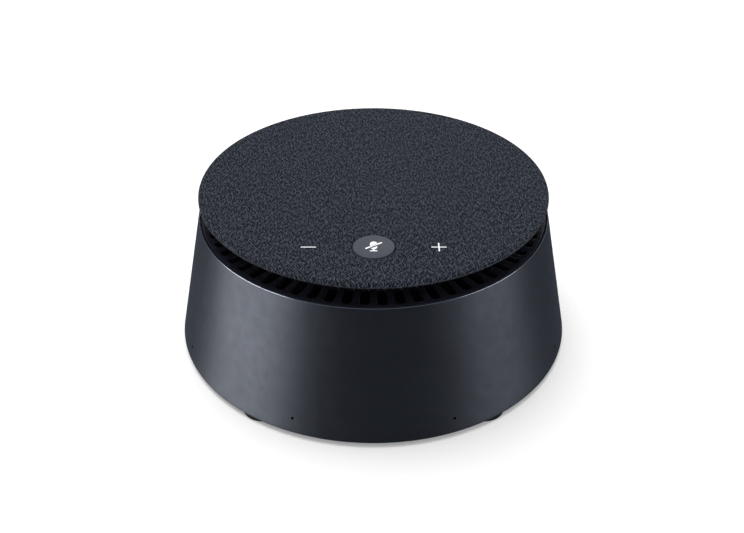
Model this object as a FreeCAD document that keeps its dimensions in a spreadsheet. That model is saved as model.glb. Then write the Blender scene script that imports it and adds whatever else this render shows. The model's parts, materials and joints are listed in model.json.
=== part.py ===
import FreeCAD, Part
import math
import os

import Sketcher

# Conference speakerphone: a conical metal housing that stands on five rubber feet, a ring of sound
# slots in its top, and a round fabric-covered table that floats over the slots and carries the
# mute button and the two volume marks. A loudspeaker faces up inside, eight microphones look out
# through holes near the foot of the housing, and one socket at the back feeds it.
#
# The origin is the centre of the plane that the feet stand on. Z is up and the front is -Y.
# All sizes are in millimetres.

doc = FreeCAD.newDocument("conference_speakerphone")
sheet = doc.addObject("Spreadsheet::Sheet", "size")

SIZES = [
    # housing
    ("base_radius", 81.4, "outer radius of the housing at its lower edge"),
    ("rim_radius", 70.6, "outer radius of the housing at its upper rim"),
    ("shell_height", 54.8, "height of the housing from its lower edge to its rim"),
    ("shell_wall", 1.8, "wall of the housing, measured along its radius"),
    ("rim_chamfer", 0.25, "polished chamfer along the rim"),
    ("rim_lip", 0.45, "thickness of the housing's rim round the slotted deck"),
    ("edge_bevel", 0.4, "bevel along the housing's lower edge"),
    ("ledge_reach", 2.5, "reach of the lower ledge inside the housing"),
    ("ledge_plate", 0.9, "thickness of the ledges inside the housing"),
    ("foot_height", 1.9, "height of the feet below the housing"),
    # ring of sound slots
    ("deck_drop", 0.2, "depth of the slotted deck below the rim"),
    ("deck_plate", 2.0, "thickness of the slotted deck"),
    ("deck_gap", 0.45, "gap between the slotted deck and the rim"),
    ("deck_skirt", 3.0, "depth of the skirt round the slotted deck"),
    ("skirt_wall", 1.4, "wall of the skirt round the slotted deck"),
    ("slot_count", 64, "number of sound slots"),
    ("slot_width", 3.6, "width of a sound slot"),
    ("slot_corner", 1.3, "corner radius of a sound slot"),
    ("slot_margin", 1.6, "deck between the hub and the slots"),
    ("slot_border", 2.9, "distance from the housing's rim to the slots"),
    # floating table
    ("table_inset", 0.5, "distance from the housing's rim to the table's edge, seen from above"),
    ("table_gap", 7.8, "height from the housing's rim to the underside of the table"),
    ("table_edge", 2.4, "thickness of the table's edge with its fabric"),
    ("fabric", 0.5, "thickness of the fabric"),
    ("hem_width", 4.0, "width of the fabric's hem under the table"),
    ("hub_wall", 1.6, "wall of the hub"),
    ("hub_floor", 1.6, "floor of the hub"),
    # keys
    ("mute_radius", 7.8, "radius of the mute button"),
    ("mute_inset", 24.2, "distance of the mute button from the table's front edge"),
    ("mute_gap", 0.25, "gap round the mute button"),
    ("mute_rise", 0.3, "height of the mute button above the fabric"),
    ("mute_travel", 0.6, "travel of the mute button"),
    ("mute_cap", 1.6, "thickness of the mute button"),
    ("mute_lip", 0.8, "thickness of the lip that keeps the mute button in"),
    ("mute_lip_reach", 1.0, "reach of that lip beyond the button"),
    ("mute_skirt", 1.2, "wall of the button's skirt"),
    ("stem_radius", 1.5, "radius of the button's stem"),
    ("switch_side", 6.2, "width of the switch under the button"),
    ("switch_height", 1.4, "height of the switch under the button"),
    ("plunger_radius", 1.4, "radius of the switch's plunger"),
    ("guide_wall", 0.85, "wall of the ring that guides the mute button"),
    ("guide_depth", 1.3, "depth of the rings under the table's plate"),
    ("slash_angle", 34, "slope of the icon's slash in degrees"),
    ("icon_depth", 0.4, "depth of the white inlays"),
    ("icon_rise", 0.03, "height of the white inlays above their surface"),
    ("mark_offset", 24.05, "sideways distance of a volume mark"),
    ("mark_inset", 24.0, "distance of the volume marks from the table's front edge"),
    ("mark_length", 5.6, "length of a volume mark's stroke"),
    ("mark_width", 0.5, "width of a volume mark's stroke"),
    ("touch_radius", 6.5, "radius of a touch pad"),
    ("touch_film", 0.2, "thickness of a touch pad"),
    # key board under the table
    ("board", 1.2, "thickness of the circuit boards"),
    ("key_board_gap", 2.8, "gap between the key board and the hub"),
    ("key_board_drop", 4.6, "depth of the key board's top below the table's plate"),
    ("ribbon_width", 10.0, "width of the flat cable"),
    ("ribbon_plate", 0.3, "thickness of the flat cable"),
    ("ribbon_row", 27.5, "distance of the flat cable's upper run from the centre"),
    ("ribbon_bend", 2.5, "inner radius of the flat cable's bends"),
    # loudspeaker
    ("driver_radius", 36.0, "outer radius of the loudspeaker's basket"),
    ("driver_depth", 23.0, "depth of the loudspeaker below its flange"),
    ("driver_plate", 1.4, "thickness of the basket's flange"),
    ("sound_room", 16.5, "height of the space between the speaker chamber and the deck"),
    ("chamber_inset", 6.5, "distance from the housing's rim to the speaker chamber"),
    ("chamber_wall", 2.0, "wall of the speaker chamber"),
    ("chamber_floor", 12.6, "height of the underside of the speaker chamber"),
    ("coil_radius", 9.6, "mean radius of the voice coil"),
    ("magnet_radius", 21.0, "outer radius of the magnet"),
    ("yoke_plate", 3.0, "thickness of the yoke's plate"),
    ("magnet_height", 6.0, "height of the magnet"),
    ("pole_plate", 3.0, "thickness of the front plate"),
    ("gasket", 0.8, "thickness of the loudspeaker's gasket"),
    ("neck_rise", 6.0, "height of the cone's neck above the pole"),
    ("coil_gap", 1.0, "space on each side of the voice coil"),
    ("deflector_depth", 9.0, "depth of the deflector below the top of the deck"),
    ("post_radius", 2.6, "radius of the posts between chamber and deck"),
    ("boss_radius", 2.8, "radius of the bosses under the main board"),
    # main board, base and microphones
    ("base_plate", 2.0, "thickness of the base plate"),
    ("base_recess", 0.6, "height of the base plate above the housing's lower edge"),
    ("base_gap", 0.3, "gap between the base plate and the housing"),
    ("main_board_height", 8.0, "height of the underside of the main board"),
    ("mic_count", 8, "number of microphones"),
    ("mic_hole", 1.2, "diameter of a microphone hole"),
    ("mic_height", 6.2, "height of a microphone hole above the housing's lower edge"),
    ("mic_side", 4.4, "width and height of a microphone"),
    ("mic_depth", 2.2, "depth of a microphone"),
    ("boot_length", 3.4, "length of a microphone's rubber boot"),
    ("foot_count", 5, "number of feet"),
    ("foot_radius", 6.0, "radius of a foot's plug in its seat"),
    ("foot_pad", 8.3, "radius of a foot's pad below the housing"),
    ("foot_round", 0.4, "rounding of a foot's lower edge"),
    ("foot_gap", 0.3, "gap between a foot's pad and the housing's edge"),
    ("foot_inset", 8.7, "distance from a foot's centre to the housing's lower edge"),
    ("foot_seat", 0.8, "depth of a foot's seat in the base plate"),
    ("leg_inset", 6.0, "distance from a leg's centre to the chamber's wall"),
    ("leg_radius", 3.0, "radius of the chamber's legs"),
    # socket at the back
    ("socket_width", 8.94, "width of the socket's metal mouth"),
    ("socket_height", 3.26, "height of the socket's metal mouth"),
    ("socket_length", 7.4, "length of the socket"),
    ("socket_wall", 0.3, "sheet thickness of the socket's mouth"),
    ("port_width", 13.0, "width of the opening in the housing"),
    ("port_height", 7.4, "height of the opening in the housing"),
    ("port_corner", 3.4, "corner radius of the opening in the housing"),
    ("socket_corner", 1.5, "corner radius of the socket's metal mouth"),
    ("trim_recess", 0.9, "depth of the trim behind the housing's surface"),
    # fasteners and fits
    ("screw_radius", 1.25, "radius of a screw's shank"),
    ("screw_head", 2.4, "radius of a screw's head"),
    ("screw_head_height", 1.4, "height of a screw's head"),
    ("run_clearance", 0.08, "radial clearance of pieces that slide in one another"),
    ("fit_gap", 0.1, "clearance between pieces that don't move"),
]

for row, (alias, number, note) in enumerate(SIZES, start=1):
    sheet.set(f"A{row}", note)
    sheet.set(f"B{row}", str(number))
    sheet.setAlias(f"B{row}", alias)
doc.recompute()

# Places that several pieces share, as expressions on the sheet.
EDGE = "size.foot_height"
RIM = f"({EDGE} + size.shell_height)"
TAPER = "((size.base_radius - size.rim_radius) / size.shell_height)"
DECK = f"({RIM} - size.deck_drop)"
DECK_UNDER = f"({DECK} - size.deck_plate)"
SKIRT_UNDER = f"({DECK_UNDER} - size.deck_skirt)"
BAFFLE = f"({DECK_UNDER} - size.sound_room)"
TABLE_RADIUS = "(size.rim_radius - size.table_inset)"
TABLE_UNDER = f"({RIM} + size.table_gap)"
TABLE_TOP = f"({TABLE_UNDER} + size.table_edge)"
PLATE_UNDER = f"({TABLE_UNDER} + size.fabric)"
PLATE_TOP = f"({TABLE_TOP} - size.fabric)"
GUIDE_UNDER = f"({PLATE_UNDER} - size.guide_depth)"
PLATE_RADIUS = f"({TABLE_RADIUS} - size.fabric - size.fit_gap)"
MUTE_Y = f"(size.mute_inset - {TABLE_RADIUS})"
MARK_Y = f"(size.mark_inset - {TABLE_RADIUS})"
MUTE_HOLE = "(size.mute_radius + size.mute_gap)"
GUIDE_RADIUS = f"({MUTE_HOLE} + size.guide_wall)"
HUB_INNER = f"({GUIDE_RADIUS} + size.fit_gap - {MUTE_Y})"
HUB_RADIUS = f"({HUB_INNER} + size.hub_wall)"
HUB_LEDGE = f"({HUB_RADIUS} - 12)"
KEY_BOARD_RADIUS = f"({HUB_INNER} - size.key_board_gap)"
CHAMBER_RADIUS = "(size.rim_radius - size.chamber_inset)"
HUB_FLOOR_TOP = f"({DECK} + size.hub_floor)"
KEY_BOARD_TOP = f"({PLATE_TOP} - size.key_board_drop)"
KEY_BOARD_UNDER = f"({KEY_BOARD_TOP} - size.board)"
BASE_UNDER = f"({EDGE} + size.base_recess)"
BASE_TOP = f"({BASE_UNDER} + size.base_plate)"
BOARD_TOP = "(size.main_board_height + size.board)"
MIC_Z = f"({EDGE} + size.mic_height)"
YOKE_UNDER = f"({BAFFLE} - size.driver_depth)"
YOKE_TOP = f"({YOKE_UNDER} + size.yoke_plate)"
MAGNET_TOP = f"({YOKE_TOP} + size.magnet_height)"
POLE_TOP = f"({MAGNET_TOP} + size.pole_plate)"
MUTE_TOP = f"({TABLE_TOP} + size.mute_rise)"
MUTE_UNDER = f"({MUTE_TOP} - size.mute_cap)"
SOCKET_Z = f"({BOARD_TOP} + size.socket_height / 2)"


def shell_outer(height):
    """Expression for the housing's outer radius at a height above the floor."""
    return f"(size.base_radius - ({height} - {EDGE}) * {TAPER})"


def shell_inner(height):
    """Expression for the housing's inner radius at a height above the floor."""
    return f"({shell_outer(height)} - size.shell_wall)"


BOOT_TOP = f"({MIC_Z} + size.mic_side / 2)"
BOOT_BACK = f"({shell_inner(BOOT_TOP)} - size.fit_gap - size.boot_length)"
MAIN_BOARD_RADIUS = f"({BOOT_BACK} - size.mic_depth)"
FOOT_RING = "(size.base_radius - size.foot_inset)"
LEG_RING = f"({CHAMBER_RADIUS} - size.leg_inset)"


def value(expression):
    """The number that an expression gives with the sheet as it is."""
    return float(sheet.evalExpression(str(expression)))


# ---------------------------------------------------------------------------
# Ways of making a piece
# ---------------------------------------------------------------------------

pieces = []


def keep(piece, label):
    """Names a finished piece and puts it on the list of sub-parts."""
    piece.Label = label
    pieces.append(piece)
    return piece


def new_body(label):
    body = doc.addObject("PartDesign::Body", label)
    body.AllowCompound = True
    return keep(body, label)


def origin_of(body, role):
    return next(item for item in body.Origin.OriginFeatures if item.Role == role)


def sketch_on(body, name, plane, lift="0", turn=None):
    """An empty sketch on one of the body's own planes, lifted along its normal and turned about Z."""
    sketch = body.newObject("Sketcher::SketchObject", name)
    sketch.AttachmentSupport = [(origin_of(body, plane), "")]
    sketch.MapMode = "FlatFace"
    if turn is not None:
        axis = FreeCAD.Vector(0, 0, 1) if plane == "XY_Plane" else FreeCAD.Vector(0, 1, 0)
        sketch.AttachmentOffset = FreeCAD.Placement(FreeCAD.Vector(), FreeCAD.Rotation(axis, 1))
        sketch.setExpression("AttachmentOffset.Rotation.Angle", turn)
    if turn is not None and plane == "XZ_Plane":
        sketch.setExpression("AttachmentOffset.Base.x", f"({lift}) * sin({turn})")
        lift = f"({lift}) * cos({turn})"
    sketch.setExpression("AttachmentOffset.Base.z", lift)
    return sketch


def bind(sketch, kind, element, point, expression):
    """Ties one coordinate of a sketch point to an expression."""
    number = sketch.addConstraint(Sketcher.Constraint(kind, -1, 1, element, point, value(expression)))
    sketch.setExpression(f"Constraints[{number}]", str(expression))


def outline(sketch, points):
    """A closed outline of straight lines through points given as pairs of expressions."""
    first = sketch.GeometryCount
    places = [FreeCAD.Vector(value(x), value(y), 0) for x, y in points]
    for start, end in zip(places, places[1:] + places[:1]):
        sketch.addGeometry(Part.LineSegment(start, end))
    for index, (x, y) in enumerate(points):
        before = first + (index - 1) % len(points)
        sketch.addConstraint(Sketcher.Constraint("Coincident", before, 2, first + index, 1))
        bind(sketch, "DistanceX", first + index, 1, x)
        bind(sketch, "DistanceY", first + index, 1, y)


def rectangle(sketch, x, y, half_x, half_y):
    """A rectangle about a centre, given by half its length and half its width."""
    outline(sketch, [
        (f"{x} - {half_x}", f"{y} - {half_y}"),
        (f"{x} + {half_x}", f"{y} - {half_y}"),
        (f"{x} + {half_x}", f"{y} + {half_y}"),
        (f"{x} - {half_x}", f"{y} + {half_y}"),
    ])


def circle(sketch, x, y, radius):
    """A circle whose centre and radius are expressions."""
    centre = FreeCAD.Vector(value(x), value(y), 0)
    element = sketch.addGeometry(Part.Circle(centre, FreeCAD.Vector(0, 0, 1), value(radius)))
    bind(sketch, "DistanceX", element, 3, x)
    bind(sketch, "DistanceY", element, 3, y)
    number = sketch.addConstraint(Sketcher.Constraint("Radius", element, value(radius)))
    sketch.setExpression(f"Constraints[{number}]", str(radius))


def rounded_box(sketch, x, y, half_x, half_y, corner):
    """A rectangle about a centre with four round corners, each an arc that meets its sides smoothly."""
    normal = FreeCAD.Vector(0, 0, 1)
    reach = value(corner)
    arcs = []
    for quarter, (side_x, side_y) in enumerate([(1, 1), (-1, 1), (-1, -1), (1, -1)]):
        centre_x = f"{x} + {side_x} * ({half_x} - {corner})"
        centre_y = f"{y} + {side_y} * ({half_y} - {corner})"
        centre = FreeCAD.Vector(value(centre_x), value(centre_y), 0)
        arc = Part.ArcOfCircle(Part.Circle(centre, normal, reach),
                               quarter * math.pi / 2, (quarter + 1) * math.pi / 2)
        arcs.append((sketch.addGeometry(arc), centre_x, centre_y))
    for index, (arc, centre_x, centre_y) in enumerate(arcs):
        following = arcs[(index + 1) % len(arcs)][0]
        side = sketch.addGeometry(Part.LineSegment(
            sketch.Geometry[arc].EndPoint, sketch.Geometry[following].StartPoint))
        sketch.addConstraint(Sketcher.Constraint("Tangent", arc, 2, side, 1))
        sketch.addConstraint(Sketcher.Constraint("Tangent", side, 2, following, 1))
        bind(sketch, "DistanceX", arc, 3, centre_x)
        bind(sketch, "DistanceY", arc, 3, centre_y)
        number = sketch.addConstraint(Sketcher.Constraint("Radius", arc, reach))
        sketch.setExpression(f"Constraints[{number}]", str(corner))


def turned(body, name, points, cut=False):
    """A solid of revolution about Z, added to the body or cut from it."""
    sketch = sketch_on(body, f"{name}_profile", "XZ_Plane")
    outline(sketch, points)
    kind = "PartDesign::Groove" if cut else "PartDesign::Revolution"
    feature = body.newObject(kind, name)
    feature.Profile = sketch
    feature.ReferenceAxis = (sketch, ["V_Axis"])
    feature.Angle = 360
    body.Tip = feature
    return feature


def pad(body, name, sketch, length):
    """Adds material from the sketch along its normal."""
    feature = body.newObject("PartDesign::Pad", name)
    feature.Profile = sketch
    feature.setExpression("Length", str(length))
    body.Tip = feature
    return feature


def pocket(body, name, sketch, length, ahead=False):
    """Cuts from the sketch against its normal, or along it if ahead, and checks that it cut."""
    doc.recompute()
    before = body.Shape.Volume
    feature = body.newObject("PartDesign::Pocket", name)
    feature.Profile = sketch
    feature.Type = "Length"
    feature.setExpression("Length", str(length))
    feature.Reversed = ahead
    body.Tip = feature
    doc.recompute()
    if not body.Shape.Volume < before:
        raise RuntimeError(f"{name} removes nothing")
    return feature


def polar(body, name, feature, count):
    """Repeats a feature evenly round Z."""
    pattern = body.newObject("PartDesign::PolarPattern", name)
    pattern.Originals = [feature]
    pattern.Axis = (origin_of(body, "Z_Axis"), [""])
    pattern.Angle = 360
    pattern.setExpression("Occurrences", str(count))
    body.Tip = pattern
    return pattern


def ring_edges(shape, radius, height):
    """Names of the shape's circular edges of one radius at one height."""
    names = []
    for number, edge in enumerate(shape.Edges, start=1):
        curve = edge.Curve
        if not isinstance(curve, Part.Circle):
            continue
        same_height = abs(curve.Center.z - value(height)) < 1e-4
        if same_height and abs(curve.Radius - value(radius)) < 1e-4:
            names.append(f"Edge{number}")
    if not names:
        raise RuntimeError(f"no circular edge of radius {radius} at {height}")
    return names


def dress(body, name, kind, size, rings):
    """A fillet or chamfer along circular edges, each given by its radius and height."""
    doc.recompute()
    base = body.Tip
    names = [edge for radius, height in rings for edge in ring_edges(base.Shape, radius, height)]
    feature = body.newObject(f"PartDesign::{kind}", name)
    feature.Base = (base, names)
    feature.setExpression("Radius" if kind == "Fillet" else "Size", str(size))
    body.Tip = feature
    return feature


def placed(solid, x="0", y="0", z="0", angle=None):
    """Ties a primitive's place, and its turn about Z, to expressions."""
    if angle is not None:
        solid.Placement = FreeCAD.Placement(
            FreeCAD.Vector(), FreeCAD.Rotation(FreeCAD.Vector(0, 0, 1), 1))
        solid.setExpression("Placement.Rotation.Angle", str(angle))
    for axis, expression in zip("xyz", (x, y, z)):
        solid.setExpression(f"Placement.Base.{axis}", str(expression))
    return solid


def cylinder(name, radius, height, x="0", y="0", z="0"):
    solid = doc.addObject("Part::Cylinder", name)
    solid.setExpression("Radius", str(radius))
    solid.setExpression("Height", str(height))
    return placed(solid, x, y, z)


def block(name, length, width, height, x="0", y="0", z="0"):
    """A box centred on x and y that stands on z."""
    solid = doc.addObject("Part::Box", name)
    solid.setExpression("Length", str(length))
    solid.setExpression("Width", str(width))
    solid.setExpression("Height", str(height))
    return placed(solid, f"{x} - ({length}) / 2", f"{y} - ({width}) / 2", z)


def gather(label, solids, kind="Part::Compound"):
    """Several solids as one sub-part: a group that stays separate, or one fused piece."""
    group = doc.addObject(kind, label)
    if kind == "Part::Compound":
        group.Links = solids
    else:
        group.Shapes = solids
    return keep(group, label)


def cut_away(label, base, tool):
    piece = doc.addObject("Part::Cut", label)
    piece.Base = base
    piece.Tool = tool
    return keep(piece, label)


def around(radius, angle):
    """Expressions for x and y at a radius, with the angle counted from the front towards +X."""
    return f"{radius} * sin({angle})", f"-1 * {radius} * cos({angle})"


def spots(radius, count, first):
    """Places evenly round Z, the first at an angle from the front."""
    return [around(radius, f"({first} + 360 * {index} / {count})") for index in range(int(value(count)))]


def screws(label, places, seat, length, up):
    """A group of screws: each head sits on the seat and its shank runs away from it."""
    solids = []
    for index, (x, y) in enumerate(places):
        head_z = f"{seat} - size.screw_head_height" if up else seat
        shank_z = seat if up else f"{seat} - ({length})"
        head = cylinder(f"{label}_head_{index}", "size.screw_head", "size.screw_head_height", x, y, head_z)
        shank = cylinder(f"{label}_shank_{index}", "size.screw_radius", length, x, y, shank_z)
        screw = doc.addObject("Part::Fuse", f"{label}_{index}")
        screw.Base = head
        screw.Tool = shank
        solids.append(screw)
    return gather(label, solids)


def pins(body, name, places, radius, low, length):
    """Bosses of one height, padded up from a plane."""
    sketch = sketch_on(body, f"{name}_places", "XY_Plane", lift=low)
    for x, y in places:
        circle(sketch, x, y, radius)
    return pad(body, name, sketch, length)


def holes(body, name, places, radius, high, depth):
    """Round holes of one depth, cut down from a plane."""
    sketch = sketch_on(body, f"{name}_places", "XY_Plane", lift=high)
    for x, y in places:
        circle(sketch, x, y, radius)
    return pocket(body, name, sketch, depth)


MUTE_AXIS = [("0", MUTE_Y)]

# Places of the screws, shared by what they hold and what they bite into.
SCREW_HOLE = "(size.screw_radius + size.fit_gap)"
HUB_SCREWS = spots(f"({HUB_RADIUS} - size.hub_wall - 5)", "4", "45")
POST_SCREWS = spots(f"({HUB_RADIUS} - 3.6)", "6", "30")
DRIVER_SCREWS = spots("(size.driver_radius - 3.2)", "4", "45")
BOARD_SCREWS = spots(f"({MAIN_BOARD_RADIUS} - 5)", "4", "45")
FEET = spots(FOOT_RING, "size.foot_count", "180 / size.foot_count")
LEGS = spots(LEG_RING, "size.foot_count", "180 / size.foot_count")


# ---------------------------------------------------------------------------
# Housing
# ---------------------------------------------------------------------------

# The housing is one conical metal wall, open above and below. Its rim thins to a narrow lip round
# the deck. Two thin ledges run round inside it: the deck's skirt rests on the upper one and the base
# plate bears on the lower one, so that the screws between deck and base clamp the housing without
# showing outside.
LEDGE_LOW = f"({SKIRT_UNDER} - size.ledge_plate)"
DECK_RADIUS = "(size.rim_radius - size.rim_lip - size.deck_gap)"
SKIRT_INNER = f"({DECK_RADIUS} - size.skirt_wall)"
FOOT_LEDGE_TOP = f"({BASE_TOP} + size.ledge_plate)"
body_shell = new_body("body_shell")
turned(body_shell, "shell_wall", [
    ("size.base_radius", EDGE),
    ("size.rim_radius", RIM),
    ("size.rim_radius - size.rim_lip", RIM),
    (f"{shell_outer(SKIRT_UNDER)} - size.rim_lip", SKIRT_UNDER),
    (SKIRT_INNER, SKIRT_UNDER),
    (SKIRT_INNER, LEDGE_LOW),
    (shell_inner(LEDGE_LOW), LEDGE_LOW),
    (shell_inner(FOOT_LEDGE_TOP), FOOT_LEDGE_TOP),
    (f"{shell_inner(FOOT_LEDGE_TOP)} - size.ledge_reach", FOOT_LEDGE_TOP),
    (f"{shell_inner(FOOT_LEDGE_TOP)} - size.ledge_reach", BASE_TOP),
    (shell_inner(BASE_TOP), BASE_TOP),
    ("size.base_radius - size.shell_wall", EDGE),
])
dress(body_shell, "rim_bevel", "Chamfer", "size.rim_chamfer", [("size.rim_radius", RIM)])
dress(body_shell, "edge_bevel", "Chamfer", "size.edge_bevel", [("size.base_radius", EDGE)])
mic_port = sketch_on(body_shell, "mic_port_place", "XZ_Plane", turn="180 / size.mic_count")
circle(mic_port, "0", MIC_Z, "size.mic_hole / 2")
mic_cut = pocket(body_shell, "mic_port", mic_port, "size.base_radius + 1", ahead=True)
polar(body_shell, "mic_ports", mic_cut, "size.mic_count")
socket_port = sketch_on(body_shell, "socket_port_place", "XZ_Plane")
rounded_box(socket_port, "0", SOCKET_Z, "size.port_width / 2", "size.port_height / 2", "size.port_corner")
pocket(body_shell, "socket_port", socket_port, "size.base_radius + 1")

# The slotted deck closes the top of the housing round the hub and lets the sound out upwards.
sound_ring = new_body("sound_ring")
turned(sound_ring, "deck", [
    (HUB_LEDGE, DECK_UNDER),
    (SKIRT_INNER, DECK_UNDER),
    (SKIRT_INNER, SKIRT_UNDER),
    (DECK_RADIUS, SKIRT_UNDER),
    (DECK_RADIUS, DECK),
    (HUB_LEDGE, DECK),
])
slot_place = sketch_on(sound_ring, "slot_place", "XY_Plane", lift=DECK, turn="180 / size.slot_count")
slot_start = f"({HUB_RADIUS} + size.slot_margin)"
slot_end = "(size.rim_radius - size.slot_border)"
rounded_box(slot_place, "0", f"({slot_start} + {slot_end}) / 2", "size.slot_width / 2",
            f"({slot_end} - {slot_start}) / 2", "size.slot_corner")
slot_cut = pocket(sound_ring, "slot", slot_place, "size.deck_plate")
polar(sound_ring, "slots", slot_cut, "size.slot_count")
holes(sound_ring, "hub_screw_holes", HUB_SCREWS, SCREW_HOLE, DECK, "size.deck_plate")
holes(sound_ring, "post_screw_holes", POST_SCREWS, SCREW_HOLE, DECK, "size.deck_plate")
holes(sound_ring, "post_screw_seats", POST_SCREWS, "(size.screw_head + size.fit_gap)", DECK,
      "size.screw_head_height")
POST_SEAT = f"({DECK} - size.screw_head_height)"
screws("post_screws", POST_SCREWS, POST_SEAT, "5", up=False)

# ---------------------------------------------------------------------------
# Floating table
# ---------------------------------------------------------------------------

# The hub is a dish on the deck: it carries the table and holds the key board.
table_hub = new_body("table_hub")
turned(table_hub, "hub_dish", [
    ("0", DECK),
    (HUB_RADIUS, DECK),
    (HUB_RADIUS, PLATE_UNDER),
    (HUB_INNER, PLATE_UNDER),
    (HUB_INNER, HUB_FLOOR_TOP),
    ("0", HUB_FLOOR_TOP),
])
board_posts = spots(f"({KEY_BOARD_RADIUS} - 4)", "4", "45")
pins(table_hub, "board_posts", board_posts, "2.4", DECK, f"{KEY_BOARD_UNDER} - {DECK}")
holes(table_hub, "hub_screw_threads", HUB_SCREWS, "size.screw_radius", f"{DECK} + 4", "4")
ribbon_slot = sketch_on(table_hub, "ribbon_slot_place", "XY_Plane", lift=HUB_FLOOR_TOP)
rectangle(ribbon_slot, "0", "size.ribbon_row", "(size.ribbon_width / 2 + 1)", "1.2")
pocket(table_hub, "ribbon_slot", ribbon_slot, "size.hub_floor")

# The table's plate is stiff and thin at its edge, with a stiffening ring below it.
table_plate = new_body("table_plate")
turned(table_plate, "plate", [
    ("0", PLATE_UNDER),
    (PLATE_RADIUS, PLATE_UNDER),
    (PLATE_RADIUS, PLATE_TOP),
    ("0", PLATE_TOP),
])
ring_inner = f"({HUB_INNER} - size.fit_gap - 1.4)"
turned(table_plate, "plate_locating_ring", [
    (ring_inner, GUIDE_UNDER),
    (f"{HUB_INNER} - size.fit_gap", GUIDE_UNDER),
    (f"{HUB_INNER} - size.fit_gap", PLATE_TOP),
    (ring_inner, PLATE_TOP),
])
pins(table_plate, "button_guide", MUTE_AXIS, GUIDE_RADIUS, GUIDE_UNDER,
     f"{PLATE_TOP} - {GUIDE_UNDER}")
holes(table_plate, "button_hole", MUTE_AXIS, MUTE_HOLE, PLATE_TOP, f"{PLATE_TOP} - {GUIDE_UNDER}")

# The fabric is one stretched disc: it covers the plate, turns round its edge and ends in a hem.
fabric_cover = new_body("fabric_cover")
hem_inner = f"({TABLE_RADIUS} - size.hem_width)"
turned(fabric_cover, "fabric_top", [
    ("0", PLATE_TOP),
    (f"{PLATE_RADIUS} + size.fit_gap", PLATE_TOP),
    (f"{PLATE_RADIUS} + size.fit_gap", PLATE_UNDER),
    (hem_inner, PLATE_UNDER),
    (hem_inner, TABLE_UNDER),
    (TABLE_RADIUS, TABLE_UNDER),
    (TABLE_RADIUS, TABLE_TOP),
    ("0", TABLE_TOP),
])
dress(fabric_cover, "fabric_turn", "Fillet", "size.fabric * 0.9",
      [(TABLE_RADIUS, TABLE_TOP), (TABLE_RADIUS, TABLE_UNDER)])
holes(fabric_cover, "fabric_button_hole", MUTE_AXIS, f"{MUTE_HOLE} + size.fit_gap",
      TABLE_TOP, "size.table_edge")

# A flat hoop glued inside the hem holds the fabric's cut edge against the plate.
hoop_outer = f"({hem_inner} - size.fit_gap)"
hem_hoop = new_body("hem_hoop")
turned(hem_hoop, "hoop", [
    (f"{hoop_outer} - 3", TABLE_UNDER),
    (hoop_outer, TABLE_UNDER),
    (hoop_outer, PLATE_UNDER),
    (f"{hoop_outer} - 3", PLATE_UNDER),
])

# The volume marks are white light guides that reach through plate and fabric, over two touch pads.
mark_depth = f"{TABLE_TOP} + size.icon_rise - {PLATE_UNDER}"
keep(block("volume_down_bar", "size.mark_length", "size.mark_width", mark_depth,
           "-size.mark_offset", MARK_Y, PLATE_UNDER), "volume_down_mark")
gather("volume_up_mark", [
    block(f"volume_up_bar_{index}", length, width, mark_depth, "size.mark_offset", MARK_Y, PLATE_UNDER)
    for index, (length, width) in enumerate([
        ("size.mark_length", "size.mark_width"), ("size.mark_width", "size.mark_length")])
], "Part::MultiFuse")


def cut_for_marks(body, name, depth):
    """Openings for the minus and the plus, cut down from the top of the fabric."""
    half_long = "(size.mark_length / 2 + size.fit_gap / 2)"
    half_wide = "(size.mark_width / 2 + size.fit_gap / 2)"
    place = sketch_on(body, f"{name}_place", "XY_Plane", lift=TABLE_TOP)
    rectangle(place, "-size.mark_offset", MARK_Y, half_long, half_wide)
    corners = []
    for side_x, side_y, long_first in ((-1, -1, True), (1, -1, False), (1, 1, True), (-1, 1, False)):
        arms = [(half_long, half_wide), (half_wide, half_wide), (half_wide, half_long)]
        for reach_x, reach_y in arms if long_first else reversed(arms):
            corners.append((f"size.mark_offset + {side_x} * {reach_x}", f"{MARK_Y} + {side_y} * {reach_y}"))
    outline(place, corners)
    pocket(body, name, place, depth)


cut_for_marks(fabric_cover, "fabric_mark_cuts", "size.fabric")
cut_for_marks(table_plate, "plate_mark_cuts", f"{TABLE_TOP} - {PLATE_UNDER}")

# ---------------------------------------------------------------------------
# Mute button
# ---------------------------------------------------------------------------

# The button is a round cap on a skirt, with a lip that keeps it in and a stem on the switch.
SWITCH_TOP = f"({KEY_BOARD_TOP} + size.switch_height)"
PLUNGER_TOP = f"({SWITCH_TOP} + size.mute_travel + 0.3)"
LIP_TOP = f"({GUIDE_UNDER} - size.fit_gap)"
LIP_UNDER = f"({LIP_TOP} - size.mute_lip)"
skirt_room = "(size.mute_radius - size.mute_skirt)"
mute_button_blank = doc.addObject("PartDesign::Body", "mute_button_blank")
cap_place = sketch_on(mute_button_blank, "cap_place", "XY_Plane", lift=MUTE_UNDER)
circle(cap_place, "0", MUTE_Y, "size.mute_radius")
pad(mute_button_blank, "cap", cap_place, "size.mute_cap")
dress(mute_button_blank, "cap_round", "Fillet", "size.mute_rise", [("size.mute_radius", MUTE_TOP)])
for name, radius, low, high in (("skirt", "size.mute_radius", LIP_UNDER, f"({MUTE_UNDER} + 0.4)"),
                                ("lip", "(size.mute_radius + size.mute_lip_reach)", LIP_UNDER, LIP_TOP)):
    place = sketch_on(mute_button_blank, f"{name}_place", "XY_Plane", lift=low)
    circle(place, "0", MUTE_Y, radius)
    circle(place, "0", MUTE_Y, skirt_room)
    pad(mute_button_blank, name, place, f"{high} - {low}")
pins(mute_button_blank, "stem", MUTE_AXIS, "size.stem_radius", PLUNGER_TOP,
     f"{MUTE_UNDER} - {PLUNGER_TOP} + 0.5")

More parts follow.
